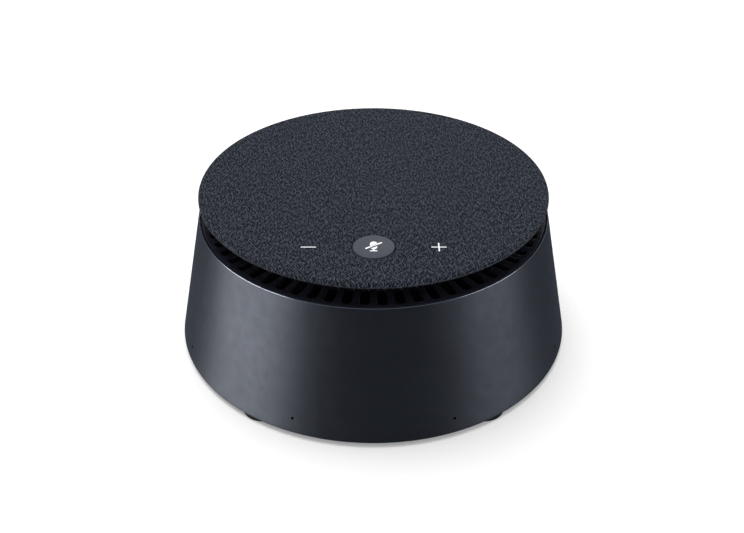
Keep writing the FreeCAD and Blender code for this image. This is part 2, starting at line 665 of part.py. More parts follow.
# The icon is a white microphone crossed by a slash. Its sizes are shares of the button's radius.
ICON_BASE = f"({MUTE_TOP} - size.icon_depth)"
icon_height = "size.icon_depth + size.icon_rise"


def share(number):
    """A length that grows with the button: the number is for a button of 7.8 mm radius."""
    return f"({number} * size.mute_radius / 7.8)"


def icon_block(name, length, width, y):
    return block(name, share(length), share(width), icon_height, "0", f"{MUTE_Y} + {share(y)}", ICON_BASE)


def icon_disc(name, radius, y, x=0):
    return cylinder(name, share(radius), icon_height, share(x), f"{MUTE_Y} + {share(y)}", ICON_BASE)


def slanted_block(name, length, width, y):
    """A bar across the icon that rises to the right, with its middle at y."""
    bar = doc.addObject("Part::Box", name)
    bar.setExpression("Length", share(length))
    bar.setExpression("Width", share(width))
    bar.setExpression("Height", icon_height)
    turn = "size.slash_angle"
    back_x = f"-{share(length)} / 2 * cos({turn}) + {share(width)} / 2 * sin({turn})"
    back_y = f"{MUTE_Y} + {share(y)} - {share(length)} / 2 * sin({turn}) - {share(width)} / 2 * cos({turn})"
    return placed(bar, back_x, back_y, ICON_BASE, angle=turn)


def joined(name, solids):
    fused = doc.addObject("Part::MultiFuse", name)
    fused.Shapes = solids
    return fused


capsule = joined("icon_capsule", [
    icon_disc("capsule_top", 1.35, 1.75),
    icon_disc("capsule_bottom", 1.35, -0.75),
    icon_block("capsule_middle", 2.7, 2.5, 0.5),
])
icon_gap = doc.addObject("Part::Cut", "icon_capsule_with_gap")
icon_gap.Base = capsule
icon_gap.Tool = slanted_block("icon_gap", 8.6, 0.7, -0.42)
gather("mute_icon", [
    icon_gap,
    icon_block("icon_stem", 0.75, 1.2, -2.45),
    icon_block("icon_foot", 2.9, 0.65, -3.1),
    slanted_block("icon_slash", 7.5, 0.8, 0.4),
], "Part::MultiFuse")
mute_icon = pieces[-1]

# The button's top face is cut out to the icon's outline, so that the inlay fits it.
cut_away("mute_button", mute_button_blank, mute_icon)

# The switch stands on the key board: a housing, a snap dome and a plunger that rides with the button.
switch_inner = "(size.plunger_radius + size.run_clearance)"
switch_body = new_body("switch_body")
switch_place = sketch_on(switch_body, "switch_place", "XY_Plane", lift=KEY_BOARD_TOP)
rectangle(switch_place, "0", MUTE_Y, "size.switch_side / 2", "size.switch_side / 2")
pad(switch_body, "switch_case", switch_place, "size.switch_height")
holes(switch_body, "plunger_hole", MUTE_AXIS, switch_inner, SWITCH_TOP, "0.9")
plunger_length = f"{PLUNGER_TOP} - {SWITCH_TOP} + 0.15"
keep(cylinder("switch_plunger_pin", "size.plunger_radius", plunger_length, "0", MUTE_Y,
              f"{SWITCH_TOP} - 0.15"), "switch_plunger")
keep(cylinder("switch_dome_disc", "1.2", "0.2", "0", MUTE_Y, f"{KEY_BOARD_TOP} + 0.5"), "switch_dome")

# Key board with its lamps under the marks and the two touch pads.
keep(cylinder("key_board_disc", KEY_BOARD_RADIUS, "size.board", z=KEY_BOARD_UNDER), "key_board")
lamp_places = [("-size.mark_offset", MARK_Y), ("size.mark_offset", MARK_Y),
               ("-5", f"{MUTE_Y} + 1"), ("5", f"{MUTE_Y} + 1")]
gather("key_lamps", [
    block(f"key_lamp_{index}", "1.6", "0.8", "0.7", x, y, KEY_BOARD_TOP)
    for index, (x, y) in enumerate(lamp_places)
])
touch_pads = new_body("touch_pads")
TOUCH_AXES = [("-size.mark_offset", MARK_Y), ("size.mark_offset", MARK_Y)]
pins(touch_pads, "touch_films", TOUCH_AXES, "size.touch_radius", f"{PLATE_TOP} - size.touch_film",
     "size.touch_film")
cut_for_marks(touch_pads, "touch_mark_cuts", f"{TABLE_TOP} - {PLATE_UNDER}")
holes(table_plate, "touch_seats", TOUCH_AXES, "(size.touch_radius + size.fit_gap)", PLATE_TOP,
      "size.touch_film")
screws("hub_screws", HUB_SCREWS, DECK_UNDER, "5", up=True)

# ---------------------------------------------------------------------------
# Loudspeaker
# ---------------------------------------------------------------------------

# Deflector: a cone under the hub that turns the sound outwards to the slots.
sound_deflector = new_body("sound_deflector")
turned(sound_deflector, "deflector", [
    ("0", f"{DECK} - size.deflector_depth"),
    ("2", f"{DECK} - size.deflector_depth"),
    (f"{HUB_LEDGE} - size.fit_gap", f"{DECK_UNDER}"),
    (f"{HUB_LEDGE} - size.fit_gap", DECK),
    ("0", DECK),
])
ribbon_pass = sketch_on(sound_deflector, "ribbon_pass_place", "XY_Plane", lift=DECK)
rectangle(ribbon_pass, "0", "size.ribbon_row", "(size.ribbon_width / 2 + 1)", "1.2")
pocket(sound_deflector, "ribbon_pass", ribbon_pass, "size.deflector_depth + 1")

# Speaker chamber: a closed tub round the back of the loudspeaker.
speaker_chamber = new_body("speaker_chamber")
chamber_inner = f"({CHAMBER_RADIUS} - size.chamber_wall)"
driver_opening = "(size.driver_radius - 6)"
turned(speaker_chamber, "tub", [
    ("0", "size.chamber_floor"),
    (CHAMBER_RADIUS, "size.chamber_floor"),
    (CHAMBER_RADIUS, BAFFLE),
    (driver_opening, BAFFLE),
    (driver_opening, f"{BAFFLE} - size.chamber_wall"),
    (chamber_inner, f"{BAFFLE} - size.chamber_wall"),
    (chamber_inner, "size.chamber_floor + size.chamber_wall"),
    ("0", "size.chamber_floor + size.chamber_wall"),
])
pins(speaker_chamber, "deck_posts", POST_SCREWS, "size.post_radius", BAFFLE,
     f"{DECK_UNDER} - {BAFFLE}")
holes(speaker_chamber, "post_threads", POST_SCREWS, "size.screw_radius", DECK_UNDER, "5")
pins(speaker_chamber, "legs", LEGS, "size.leg_radius", BASE_TOP, f"size.chamber_floor - {BASE_TOP}")
leg_threads = sketch_on(speaker_chamber, "leg_threads_place", "XY_Plane", lift=BASE_TOP)
for x, y in LEGS:
    circle(leg_threads, x, y, "size.screw_radius")
pocket(speaker_chamber, "leg_threads", leg_threads, "6", ahead=True)

# The gasket seals the loudspeaker's flange on the chamber.
GASKET_TOP = f"({BAFFLE} + size.gasket)"
speaker_gasket = new_body("speaker_gasket")
turned(speaker_gasket, "gasket", [
    (driver_opening, BAFFLE),
    ("size.driver_radius", BAFFLE),
    ("size.driver_radius", GASKET_TOP),
    (driver_opening, GASKET_TOP),
])

# Heights inside the driver follow the gasket's top.
FLANGE_UNDER = GASKET_TOP
BASKET_TOP = f"({GASKET_TOP} + size.driver_plate)"
cup_radius = "(size.magnet_radius + 2)"
basket_neck = "(size.driver_radius - 6.5)"
speaker_basket = new_body("speaker_basket")
turned(speaker_basket, "basket", [
    (f"{basket_neck} - 1.2", BASKET_TOP),
    (f"{basket_neck} - 1.2", f"{FLANGE_UNDER} - 1.5"),
    (f"{cup_radius} - 1.2", f"{POLE_TOP} + 1.2"),
    ("size.coil_radius + 5", f"{POLE_TOP} + 1.2"),
    ("size.coil_radius + 5", POLE_TOP),
    (cup_radius, POLE_TOP),
    (basket_neck, f"{FLANGE_UNDER} - 2.2"),
    (basket_neck, FLANGE_UNDER),
    ("size.driver_radius", FLANGE_UNDER),
    ("size.driver_radius", BASKET_TOP),
])
window = sketch_on(speaker_basket, "basket_window_place", "XZ_Plane")
rectangle(window, "0", f"({POLE_TOP} + 7)", "7", "1.6")
window_cut = pocket(speaker_basket, "basket_window", window, "size.driver_radius - 4", ahead=True)
polar(speaker_basket, "basket_windows", window_cut, "4")
holes(speaker_basket, "flange_holes", DRIVER_SCREWS, SCREW_HOLE, BASKET_TOP, "size.driver_plate")
holes(speaker_gasket, "gasket_holes", DRIVER_SCREWS, SCREW_HOLE, GASKET_TOP, "size.gasket")
holes(speaker_chamber, "driver_threads", DRIVER_SCREWS, "size.screw_radius", BAFFLE, "1.9")
screws("speaker_screws", DRIVER_SCREWS, BASKET_TOP, "size.driver_plate + 2.4", up=False)

# Motor: a yoke with its pole, a ring magnet and the front plate round the coil's gap.
coil_room = "(size.coil_radius + size.coil_gap)"
pole_radius = "(size.coil_radius - size.coil_gap)"
speaker_yoke = new_body("speaker_yoke")
turned(speaker_yoke, "yoke", [
    ("0", YOKE_UNDER),
    ("size.magnet_radius - 1", YOKE_UNDER),
    ("size.magnet_radius - 1", YOKE_TOP),
    (pole_radius, YOKE_TOP),
    (pole_radius, POLE_TOP),
    ("0", POLE_TOP),
])
speaker_magnet = new_body("speaker_magnet")
turned(speaker_magnet, "magnet", [
    (f"{coil_room} + 2", YOKE_TOP),
    ("size.magnet_radius", YOKE_TOP),
    ("size.magnet_radius", MAGNET_TOP),
    (f"{coil_room} + 2", MAGNET_TOP),
])
front_plate = new_body("front_plate")
turned(front_plate, "front_plate_ring", [
    (coil_room, MAGNET_TOP),
    ("size.magnet_radius - 1", MAGNET_TOP),
    ("size.magnet_radius - 1", POLE_TOP),
    (coil_room, POLE_TOP),
])

# Moving parts of the loudspeaker: coil, cone and dust cap.
coil_wall = "0.35"
NECK = f"({POLE_TOP} + size.neck_rise)"
CONE_TOP = f"({BASKET_TOP} - 0.9)"
cone_outer = "(size.driver_radius - 12)"
coil_outer = f"(size.coil_radius + {coil_wall})"
voice_coil = new_body("voice_coil")
turned(voice_coil, "coil", [
    (f"size.coil_radius - {coil_wall}", f"{MAGNET_TOP} - 1.6"),
    (coil_outer, f"{MAGNET_TOP} - 1.6"),
    (coil_outer, NECK),
    (f"size.coil_radius - {coil_wall}", NECK),
])
speaker_cone = new_body("speaker_cone")
turned(speaker_cone, "cone", [
    (coil_outer, f"{NECK} - 0.9"),
    (f"{coil_outer} + 0.9", f"{NECK} - 0.9"),
    (f"{cone_outer} + 0.6", f"{CONE_TOP} - 0.5"),
    (f"{cone_outer} + 0.6", CONE_TOP),
    (cone_outer, CONE_TOP),
    (coil_outer, NECK),
])
dust_cap = new_body("dust_cap")
turned(dust_cap, "cap", [
    ("0", f"{NECK} + 2.4"),
    ("5", f"{NECK} + 1.9"),
    ("size.coil_radius", f"{NECK} + 0.5"),
    ("size.coil_radius", NECK),
    ("size.coil_radius - 0.6", NECK),
    ("4.8", f"{NECK} + 1.4"),
    ("0", f"{NECK} + 1.9"),
])

# The rubber surround rolls between the cone and the basket; the spider centres the coil.
surround_inner = f"({cone_outer} + 0.6)"
surround_outer = f"({basket_neck} - 1.2)"
surround_middle = f"(({surround_inner} + {surround_outer}) / 2)"
cone_surround = new_body("cone_surround")
turned(cone_surround, "surround", [
    (surround_inner, f"{CONE_TOP} - 0.5"),
    (f"{surround_middle} - 1.4", f"{CONE_TOP} + 0.7"),
    (surround_middle, f"{CONE_TOP} + 1.2"),
    (f"{surround_middle} + 1.4", f"{CONE_TOP} + 0.7"),
    (surround_outer, f"{CONE_TOP} - 0.5"),
    (surround_outer, CONE_TOP),
    (f"{surround_middle} + 1.6", f"{CONE_TOP} + 1.2"),
    (surround_middle, f"{CONE_TOP} + 1.7"),
    (f"{surround_middle} - 1.6", f"{CONE_TOP} + 1.2"),
    (surround_inner, CONE_TOP),
])
SPIDER_Z = f"({POLE_TOP} + 3.4)"
basket_slope = f"(({basket_neck} - {cup_radius}) / ({FLANGE_UNDER} - 1.5 - {POLE_TOP} - 1.2))"
spider_outer = f"({cup_radius} - 1.2 - 0.05 + ({SPIDER_Z} - {POLE_TOP} - 1.2) * {basket_slope})"
speaker_spider = new_body("speaker_spider")
turned(speaker_spider, "spider", [
    (coil_outer, SPIDER_Z),
    (f"{coil_outer} + 2", f"{SPIDER_Z} + 0.5"),
    (f"{coil_outer} + 4", SPIDER_Z),
    (f"{coil_outer} + 6", f"{SPIDER_Z} + 0.5"),
    (spider_outer, SPIDER_Z),
    (spider_outer, f"{SPIDER_Z} + 0.4"),
    (f"{coil_outer} + 6", f"{SPIDER_Z} + 0.9"),
    (f"{coil_outer} + 4", f"{SPIDER_Z} + 0.4"),
    (f"{coil_outer} + 2", f"{SPIDER_Z} + 0.9"),
    (coil_outer, f"{SPIDER_Z} + 0.4"),
])

# ---------------------------------------------------------------------------
# Main board, microphones, socket and base
# ---------------------------------------------------------------------------

# The base plate closes the housing from below and carries the bosses for boards and chamber.
base_plate = new_body("base_plate")
base_outer_low = f"({shell_inner(BASE_UNDER)} - size.base_gap)"
base_outer_high = f"({shell_inner(BASE_TOP)} - size.base_gap)"
turned(base_plate, "base_disc", [
    ("0", BASE_UNDER),
    (base_outer_low, BASE_UNDER),
    (base_outer_high, BASE_TOP),
    ("0", BASE_TOP),
])
pins(base_plate, "board_bosses", BOARD_SCREWS, "size.boss_radius", BASE_UNDER,
     f"size.main_board_height - {BASE_UNDER}")
holes(base_plate, "boss_threads", BOARD_SCREWS, "size.screw_radius", "size.main_board_height", "3.4")
holes(base_plate, "leg_screw_holes", LEGS, SCREW_HOLE, BASE_TOP, "size.base_plate")
base_seats = sketch_on(base_plate, "leg_screw_seats_place", "XY_Plane", lift=BASE_UNDER)
for x, y in LEGS:
    circle(base_seats, x, y, "(size.screw_head + size.fit_gap)")
pocket(base_plate, "leg_screw_seats", base_seats, "size.screw_head_height", ahead=True)
screws("base_screws", LEGS, f"({BASE_UNDER} + size.screw_head_height)", "6", up=True)
foot_place = sketch_on(base_plate, "foot_seat_place", "XY_Plane", lift=BASE_UNDER,
                       turn="180 / size.foot_count")
circle(foot_place, "0", f"-{FOOT_RING}", "size.foot_radius + size.fit_gap")
foot_cut = pocket(base_plate, "foot_seat", foot_place, "size.foot_seat", ahead=True)
polar(base_plate, "foot_seats", foot_cut, "size.foot_count")

# Five rubber feet: a wide pad below the housing and a plug sunk into its seat.
for index, (x, y) in enumerate(FEET, start=1):
    foot = new_body(f"foot_{index}")
    pins(foot, f"foot_{index}_plug", [(x, y)], "size.foot_radius", "0", f"{BASE_UNDER} + size.foot_seat")
    pins(foot, f"foot_{index}_pad", [(x, y)], "size.foot_pad", "0", f"{EDGE} - size.foot_gap")
    dress(foot, f"foot_{index}_round", "Fillet", "size.foot_round", [("size.foot_pad", "0")])

# The main board is a disc with a tongue at the back for the socket.
BOARD_REACH = f"({shell_inner(BOARD_TOP)} - 1.2)"
main_board = new_body("main_board")
board_place = sketch_on(main_board, "board_place", "XY_Plane", lift="size.main_board_height")
circle(board_place, "0", "0", MAIN_BOARD_RADIUS)
pad(main_board, "board_disc", board_place, "size.board")
tongue_place = sketch_on(main_board, "tongue_place", "XY_Plane", lift="size.main_board_height")
rectangle(tongue_place, "0", f"({BOARD_REACH} - 10)", "9", "10")
pad(main_board, "board_tongue", tongue_place, "size.board")
holes(main_board, "board_holes", BOARD_SCREWS, SCREW_HOLE, BOARD_TOP, "size.board")
holes(main_board, "leg_holes", LEGS, "(size.leg_radius + 0.4)", BOARD_TOP, "size.board")
screws("board_screws", BOARD_SCREWS, BOARD_TOP, "size.board + 3", up=False)


def on_board(label, height, layout):
    """A group of boxes on the main board: places as shares of its radius, then length and width."""
    gather(label, [
        block(f"{label}_{index}", length, width, height,
              f"{share_x} * {MAIN_BOARD_RADIUS}", f"{share_y} * {MAIN_BOARD_RADIUS}", BOARD_TOP)
        for index, (share_x, share_y, length, width) in enumerate(layout)
    ])


on_board("main_chips", 1.1, [(-0.25, -0.15, 14, 14), (0.17, -0.32, 10, 10), (0.36, 0.08, 8, 12),
                             (-0.06, 0.28, 9, 6), (-0.46, 0.2, 6, 6)])
on_board("shield_cans", 2.2, [(-0.6, -0.2, 16, 18), (0.56, -0.32, 16, 14)])

# The flat cable drops from the key board through hub and deflector, runs back over the speaker
# chamber and goes down behind it to the main board.
RIBBON_RUN = f"({SKIRT_UNDER} - size.ledge_plate - 3)"
ribbon_back = f"({CHAMBER_RADIUS} + 3)"
half_plate = "size.ribbon_plate / 2"
key_ribbon = new_body("key_ribbon")
ribbon_place = sketch_on(key_ribbon, "ribbon_place", "YZ_Plane", lift="-size.ribbon_width / 2")
outline(ribbon_place, [
    (f"size.ribbon_row - {half_plate}", KEY_BOARD_UNDER),
    (f"size.ribbon_row - {half_plate}", f"{RIBBON_RUN} - {half_plate}"),
    (f"{ribbon_back} - {half_plate}", f"{RIBBON_RUN} - {half_plate}"),
    (f"{ribbon_back} - {half_plate}", BOARD_TOP),
    (f"{ribbon_back} + {half_plate}", BOARD_TOP),
    (f"{ribbon_back} + {half_plate}", f"{RIBBON_RUN} + {half_plate}"),
    (f"size.ribbon_row + {half_plate}", f"{RIBBON_RUN} + {half_plate}"),
    (f"size.ribbon_row + {half_plate}", KEY_BOARD_UNDER),
])
pad(key_ribbon, "ribbon", ribbon_place, "size.ribbon_width")


def bend(name, corners, radius):
    """Rounds the flat cable's edges that run along X through the given (y, z) corners."""
    doc.recompute()
    base = key_ribbon.Tip
    names = []
    for number, edge in enumerate(base.Shape.Edges, start=1):
        middle = edge.CenterOfMass
        for y, z in corners:
            near = abs(middle.y - value(y)) < 1e-4 and abs(middle.z - value(z)) < 1e-4
            if near and abs(middle.x) < 1e-4:
                names.append(f"Edge{number}")
    feature = key_ribbon.newObject("PartDesign::Fillet", name)
    feature.Base = (base, names)
    feature.setExpression("Radius", radius)
    key_ribbon.Tip = feature


bend("ribbon_inner_bends", [
    (f"size.ribbon_row + {half_plate}", f"{RIBBON_RUN} + {half_plate}"),
    (f"{ribbon_back} - {half_plate}", f"{RIBBON_RUN} - {half_plate}"),
], "size.ribbon_bend")
bend("ribbon_outer_bends", [
    (f"size.ribbon_row - {half_plate}", f"{RIBBON_RUN} - {half_plate}"),
    (f"{ribbon_back} + {half_plate}", f"{RIBBON_RUN} + {half_plate}"),
], "size.ribbon_bend + size.ribbon_plate")

# Eight microphones look out through the housing, each in a rubber boot.
for index in range(int(value("size.mic_count"))):
    angle = f"(180 / size.mic_count + 360 * {index} / size.mic_count)"
    microphone = doc.addObject("Part::Box", f"microphone_case_{index + 1}")
    microphone.setExpression("Length", "size.mic_depth")
    microphone.setExpression("Width", "size.mic_side")
    microphone.setExpression("Height", "size.mic_side")
    inner_x, inner_y = around(f"({BOOT_BACK} - size.mic_depth)", angle)
    placed(microphone, f"{inner_x} - size.mic_side / 2 * cos({angle})",
           f"{inner_y} - size.mic_side / 2 * sin({angle})", f"{MIC_Z} - size.mic_side / 2",
           angle=f"{angle} - 90")
    keep(microphone, f"microphone_{index + 1}")

mic_boots = new_body("mic_boots")
boot_place = sketch_on(mic_boots, "boot_place", "XZ_Plane", lift=BOOT_BACK, turn="180 / size.mic_count")
circle(boot_place, "0", MIC_Z, "size.mic_side / 2")
circle(boot_place, "0", MIC_Z, "size.mic_hole / 2")
boot_pad = pad(mic_boots, "boot", boot_place, "size.boot_length")
polar(mic_boots, "boots", boot_pad, "size.mic_count")

# The socket: a metal mouth, a tongue inside it and a trim that fills the housing's opening.
SOCKET_MOUTH = f"({BOARD_REACH} + 0.6)"
socket_low = f"({SOCKET_Z} - size.socket_height / 2)"
socket_shell = new_body("socket_shell")
socket_place = sketch_on(socket_shell, "socket_place", "XZ_Plane", lift=f"-{SOCKET_MOUTH}")
rounded_box(socket_place, "0", SOCKET_Z, "size.socket_width / 2", "size.socket_height / 2",
            "size.socket_corner")
pad(socket_shell, "socket_block", socket_place, "size.socket_length")
mouth_place = sketch_on(socket_shell, "mouth_place", "XZ_Plane", lift=f"-{SOCKET_MOUTH}")
rounded_box(mouth_place, "0", SOCKET_Z, "(size.socket_width / 2 - size.socket_wall)",
            "(size.socket_height / 2 - size.socket_wall)", "(size.socket_corner - size.socket_wall)")
pocket(socket_shell, "socket_mouth", mouth_place, "size.socket_length - 1", ahead=True)
keep(block("socket_tongue_block", "6.6", "5", "0.7", "0", f"({SOCKET_MOUTH} - 1 - 2.9)",
           f"{SOCKET_Z} - 0.35"), "socket_tongue")

socket_trim = new_body("socket_trim")
trim_back = f"({SOCKET_MOUTH} + size.fit_gap)"
trim_front = f"({shell_outer(SOCKET_Z)} - size.trim_recess)"
trim_place = sketch_on(socket_trim, "trim_place", "XZ_Plane", lift=f"-{trim_front}")
rounded_box(trim_place, "0", SOCKET_Z, "(size.port_width / 2 - size.fit_gap)",
            "(size.port_height / 2 - size.fit_gap)", "(size.port_corner - size.fit_gap)")
rounded_box(trim_place, "0", SOCKET_Z, "(size.socket_width / 2 + size.socket_wall)",
            "(size.socket_height / 2 + size.socket_wall)", "(size.socket_corner + size.socket_wall)")
pad(socket_trim, "trim", trim_place, f"{trim_front} - {trim_back}")

# ---------------------------------------------------------------------------
# Checks and files
# ---------------------------------------------------------------------------

doc.recompute()
for item in doc.Objects:
    if "Invalid" in item.State or "Error" in item.State:
        raise RuntimeError(f"{item.Label} did not build: {item.State}")

os.makedirs("parts", exist_ok=True)
for piece in pieces:
    if piece.Shape.isNull() or not piece.Shape.isValid():
        raise RuntimeError(f"{piece.Label} has no valid shape")
for piece in pieces:
    piece.Shape.exportStep(f"parts/{piece.Label}.step")
    box = piece.Shape.BoundBox
    print(f"{piece.Label}: {len(piece.Shape.Solids)} solids, {piece.Shape.Volume:.1f} mm3,"
          f" z {box.ZMin:.2f} to {box.ZMax:.2f}")
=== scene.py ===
# %% [markdown]
# # A conference speakerphone
#
# The real object is a cone of satin metal with a glossy slotted ring in its top and a thin round
# table of stretched cloth that floats over the ring. The frame from the CAD step already holds every
# part at its real size, so this lesson only makes the surfaces that the eye meets finer than the CAD
# mesh, and gives every part a finish that is worked out by nodes.

import json
import math

import bmesh
import bpy
import numpy as np
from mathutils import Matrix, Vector


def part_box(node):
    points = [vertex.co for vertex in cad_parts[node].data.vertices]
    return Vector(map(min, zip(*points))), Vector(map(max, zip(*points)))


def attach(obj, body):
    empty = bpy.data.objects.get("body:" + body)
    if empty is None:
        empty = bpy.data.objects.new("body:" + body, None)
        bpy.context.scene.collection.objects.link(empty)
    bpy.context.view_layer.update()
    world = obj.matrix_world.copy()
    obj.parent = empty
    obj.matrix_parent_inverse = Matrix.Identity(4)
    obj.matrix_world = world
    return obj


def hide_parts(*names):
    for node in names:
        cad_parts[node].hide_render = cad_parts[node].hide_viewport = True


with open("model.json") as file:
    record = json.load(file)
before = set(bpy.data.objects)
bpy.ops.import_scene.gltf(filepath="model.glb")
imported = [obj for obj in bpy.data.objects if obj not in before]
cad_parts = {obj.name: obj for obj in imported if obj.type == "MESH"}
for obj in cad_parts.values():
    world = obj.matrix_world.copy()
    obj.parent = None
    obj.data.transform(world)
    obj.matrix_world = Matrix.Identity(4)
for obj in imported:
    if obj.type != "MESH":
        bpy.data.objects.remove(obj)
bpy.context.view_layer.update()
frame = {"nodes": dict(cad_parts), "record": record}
nodes = frame["nodes"]
MM = 0.001

# %% [markdown]
# ## Sizes from the frame
#
# Places are read from the boxes of the CAD nodes, so a new CAD size moves the surfaces too. Wall
# thicknesses and the rim's radius don't show in a box, so they are given as numbers.

# %% Read the main sizes
shell_low, shell_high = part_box("body_shell")
cover_low, cover_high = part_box("fabric_cover")
hub_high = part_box("table_hub")[1]
deck_low, deck_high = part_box("sound_ring")
button_low, button_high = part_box("mute_button")

base_radius = shell_high.x
edge_z = shell_low.z
rim_z = shell_high.z
rim_radius = 70.6 * MM
rim_lip = 0.45 * MM
wall = 1.8 * MM
skirt_z = deck_low.z
deck_radius = deck_high.x
table_radius = cover_high.x
table_top = cover_high.z
table_under = cover_low.z
hub_radius = hub_high.x
deck_z = deck_high.z
button_y = (button_low.y + button_high.y) / 2
button_top = button_high.z
taper = (base_radius - rim_radius) / (rim_z - edge_z)
print("base radius", base_radius, "table radius", table_radius, "hub radius", hub_radius)


def shell_radius(z):
    """Outer radius of the housing at a height: it shrinks evenly from the base to the rim."""
    return base_radius - (z - edge_z) * taper


# %% [markdown]
# ## Turning a grid of points into a mesh
#
# Most pieces here are grids: rows of points that run along a profile, and columns that run round the
# object. One helper joins neighbouring points with four-sided faces, and can close the grid in either
# direction, so that seams need no double points.

# %% Mesh helpers
def mesh_from(name, points, faces, smooth_angle=32.0):
    """A new object from an array of points and an array of faces, smooth where faces meet gently."""
    mesh = bpy.data.meshes.new(name)
    mesh.from_pydata(np.asarray(points, float).reshape(-1, 3).tolist(), [], list(faces))
    mesh.validate()
    mesh.polygons.foreach_set("use_smooth", np.ones(len(mesh.polygons), bool))
    mesh.set_sharp_from_angle(angle=math.radians(smooth_angle))
    piece = bpy.data.objects.new(name, mesh)
    bpy.context.scene.collection.objects.link(piece)
    return piece


def grid_faces(rows, columns, close_rows=False, close_columns=False, offset=0):
    """Four-sided faces over a grid of points, closed into a loop along either direction if asked."""
    row_steps = np.arange(rows if close_rows else rows - 1)
    column_steps = np.arange(columns if close_columns else columns - 1)
    row, column = np.meshgrid(row_steps, column_steps, indexing="ij")
    next_row, next_column = (row + 1) % rows, (column + 1) % columns
    corners = [row * columns + column, row * columns + next_column,
               next_row * columns + next_column, next_row * columns + column]
    return np.stack(corners, axis=-1).reshape(-1, 4) + offset


def volume_of(piece):
    """Signed volume inside a mesh: positive when its faces point outwards."""
    mesh = piece.data
    mesh.calc_loop_triangles()
    corners = np.empty(len(mesh.loop_triangles) * 3, np.int32)
    mesh.loop_triangles.foreach_get("vertices", corners)
    places = np.empty(len(mesh.vertices) * 3)
    mesh.vertices.foreach_get("co", places)
    a, b, c = places.reshape(-1, 3)[corners.reshape(-1, 3)].transpose(1, 0, 2)
    return float(np.einsum("ij,ij->i", a, np.cross(b, c)).sum() / 6)


def outward(piece):
    """Flips a closed mesh whose faces point inwards, which its signed volume tells."""
    if volume_of(piece) < 0:
        piece.data.flip_normals()
    return piece


def arc(centre, radius, start, end, steps):
    """Points on a circular arc in the (radius, height) plane, angles in degrees from the outward axis."""
    angles = np.radians(np.linspace(start, end, steps))
    return np.stack([centre[0] + radius * np.cos(angles), centre[1] + radius * np.sin(angles)], axis=1)


def spun(profile, segments, centre=(0.0, 0.0)):
    """Carries a closed (radius, height) profile round a vertical axis: x and y are radius times the
    sine and cosine of the turn, and the height stays."""
    profile = np.asarray(profile, float)
    turns = np.linspace(0, 2 * np.pi, segments, endpoint=False)
    radius, height = profile[:, 0][:, None], profile[:, 1][:, None]
    x = centre[0] + radius * np.cos(turns)[None, :]
    y = centre[1] + radius * np.sin(turns)[None, :]
    return np.stack([x, y, np.broadcast_to(height, x.shape)], axis=-1)


def turned_piece(name, profile, segments):
    """A closed ring-shaped solid. The profile runs anticlockwise in (radius, height)."""
    points = spun(profile, segments)
    faces = grid_faces(len(profile), segments, close_rows=True, close_columns=True)
    return outward(mesh_from(name, points, faces))


def turned_solid(name, profile, segments, centre=(0.0, 0.0)):
    """A solid that reaches its axis at both ends of an open profile, closed by two pole points."""
    profile = np.asarray(profile, float)
    ring = spun(profile[1:-1], segments, centre).reshape(-1, 3)
    rows = len(profile) - 2
    first_pole, last_pole = rows * segments, rows * segments + 1
    points = np.vstack([ring, [centre[0], centre[1], profile[0, 1]], [centre[0], centre[1], profile[-1, 1]]])
    faces = grid_faces(rows, segments, close_columns=True).tolist()
    column = np.arange(segments)
    following = (column + 1) % segments
    faces += np.stack([np.full(segments, first_pole), following, column], axis=1).tolist()
    last_row = (rows - 1) * segments
    faces += np.stack([np.full(segments, last_pole), last_row + column, last_row + following],
                      axis=1).tolist()
    return outward(mesh_from(name, points, faces))


# %% [markdown]
# ## Camera
#
# The camera stands in front of the object and looks down on it by about a third of a right angle.
# It comes first, because every finish is judged through it.

# %% Camera
CAMERA_ASIDE = -0.00060
CAMERA_AWAY = 0.39018
CAMERA_ABOVE_RIM = 0.23497
CAMERA_TILT = 34.15
CAMERA_LENS = 54.03

camera_data = bpy.data.cameras.new("camera")
camera_data.lens = CAMERA_LENS
camera_data.sensor_width = 36.0
camera = bpy.data.objects.new("camera", camera_data)
bpy.context.scene.collection.objects.link(camera)
camera.location = (CAMERA_ASIDE, -CAMERA_AWAY, CAMERA_ABOVE_RIM + rim_z)
camera.rotation_euler = (math.radians(90 - CAMERA_TILT), 0, 0)
bpy.context.scene.camera = camera
print("camera", tuple(round(v, 3) for v in camera.location))

# %% [markdown]
# ## Floor and light
#
# A pale floor, a pale surround and four large lamps make a plain studio. The metal shows broad soft
# bands because two tall lamps stand beside it and one behind, and its front middle stays dark because
# the reflections there come from nothing bright. The floor is kept out of glossy reflections for the
# same reason.

# %% Floor and light
def floor_material():
    """Matt white with a faint glow, so that the floor stays pale away from the lamps."""
    material = bpy.data.materials.new("studio_floor")
    material.use_nodes = True
    shader = material.node_tree.nodes["Principled BSDF"]
    shader.inputs["Base Color"].default_value = (0.88, 0.88, 0.88, 1)
    shader.inputs["Roughness"].default_value = 0.9
    shader.inputs["Specular IOR Level"].default_value = 0.1
    shader.inputs["Emission Color"].default_value = (1, 1, 1, 1)
    shader.inputs["Emission Strength"].default_value = 0.20
    return material


floor_mesh = bpy.data.meshes.new("studio_floor")
FLOOR_HALF = 6.0
floor_mesh.from_pydata(
    [(-FLOOR_HALF, -FLOOR_HALF, 0), (FLOOR_HALF, -FLOOR_HALF, 0),
     (FLOOR_HALF, FLOOR_HALF, 0), (-FLOOR_HALF, FLOOR_HALF, 0)], [], [(0, 1, 2, 3)])
floor = bpy.data.objects.new("studio_floor", floor_mesh)
floor.data.materials.append(floor_material())
floor.visible_glossy = False
floor.visible_shadow = False
bpy.context.scene.collection.objects.link(floor)


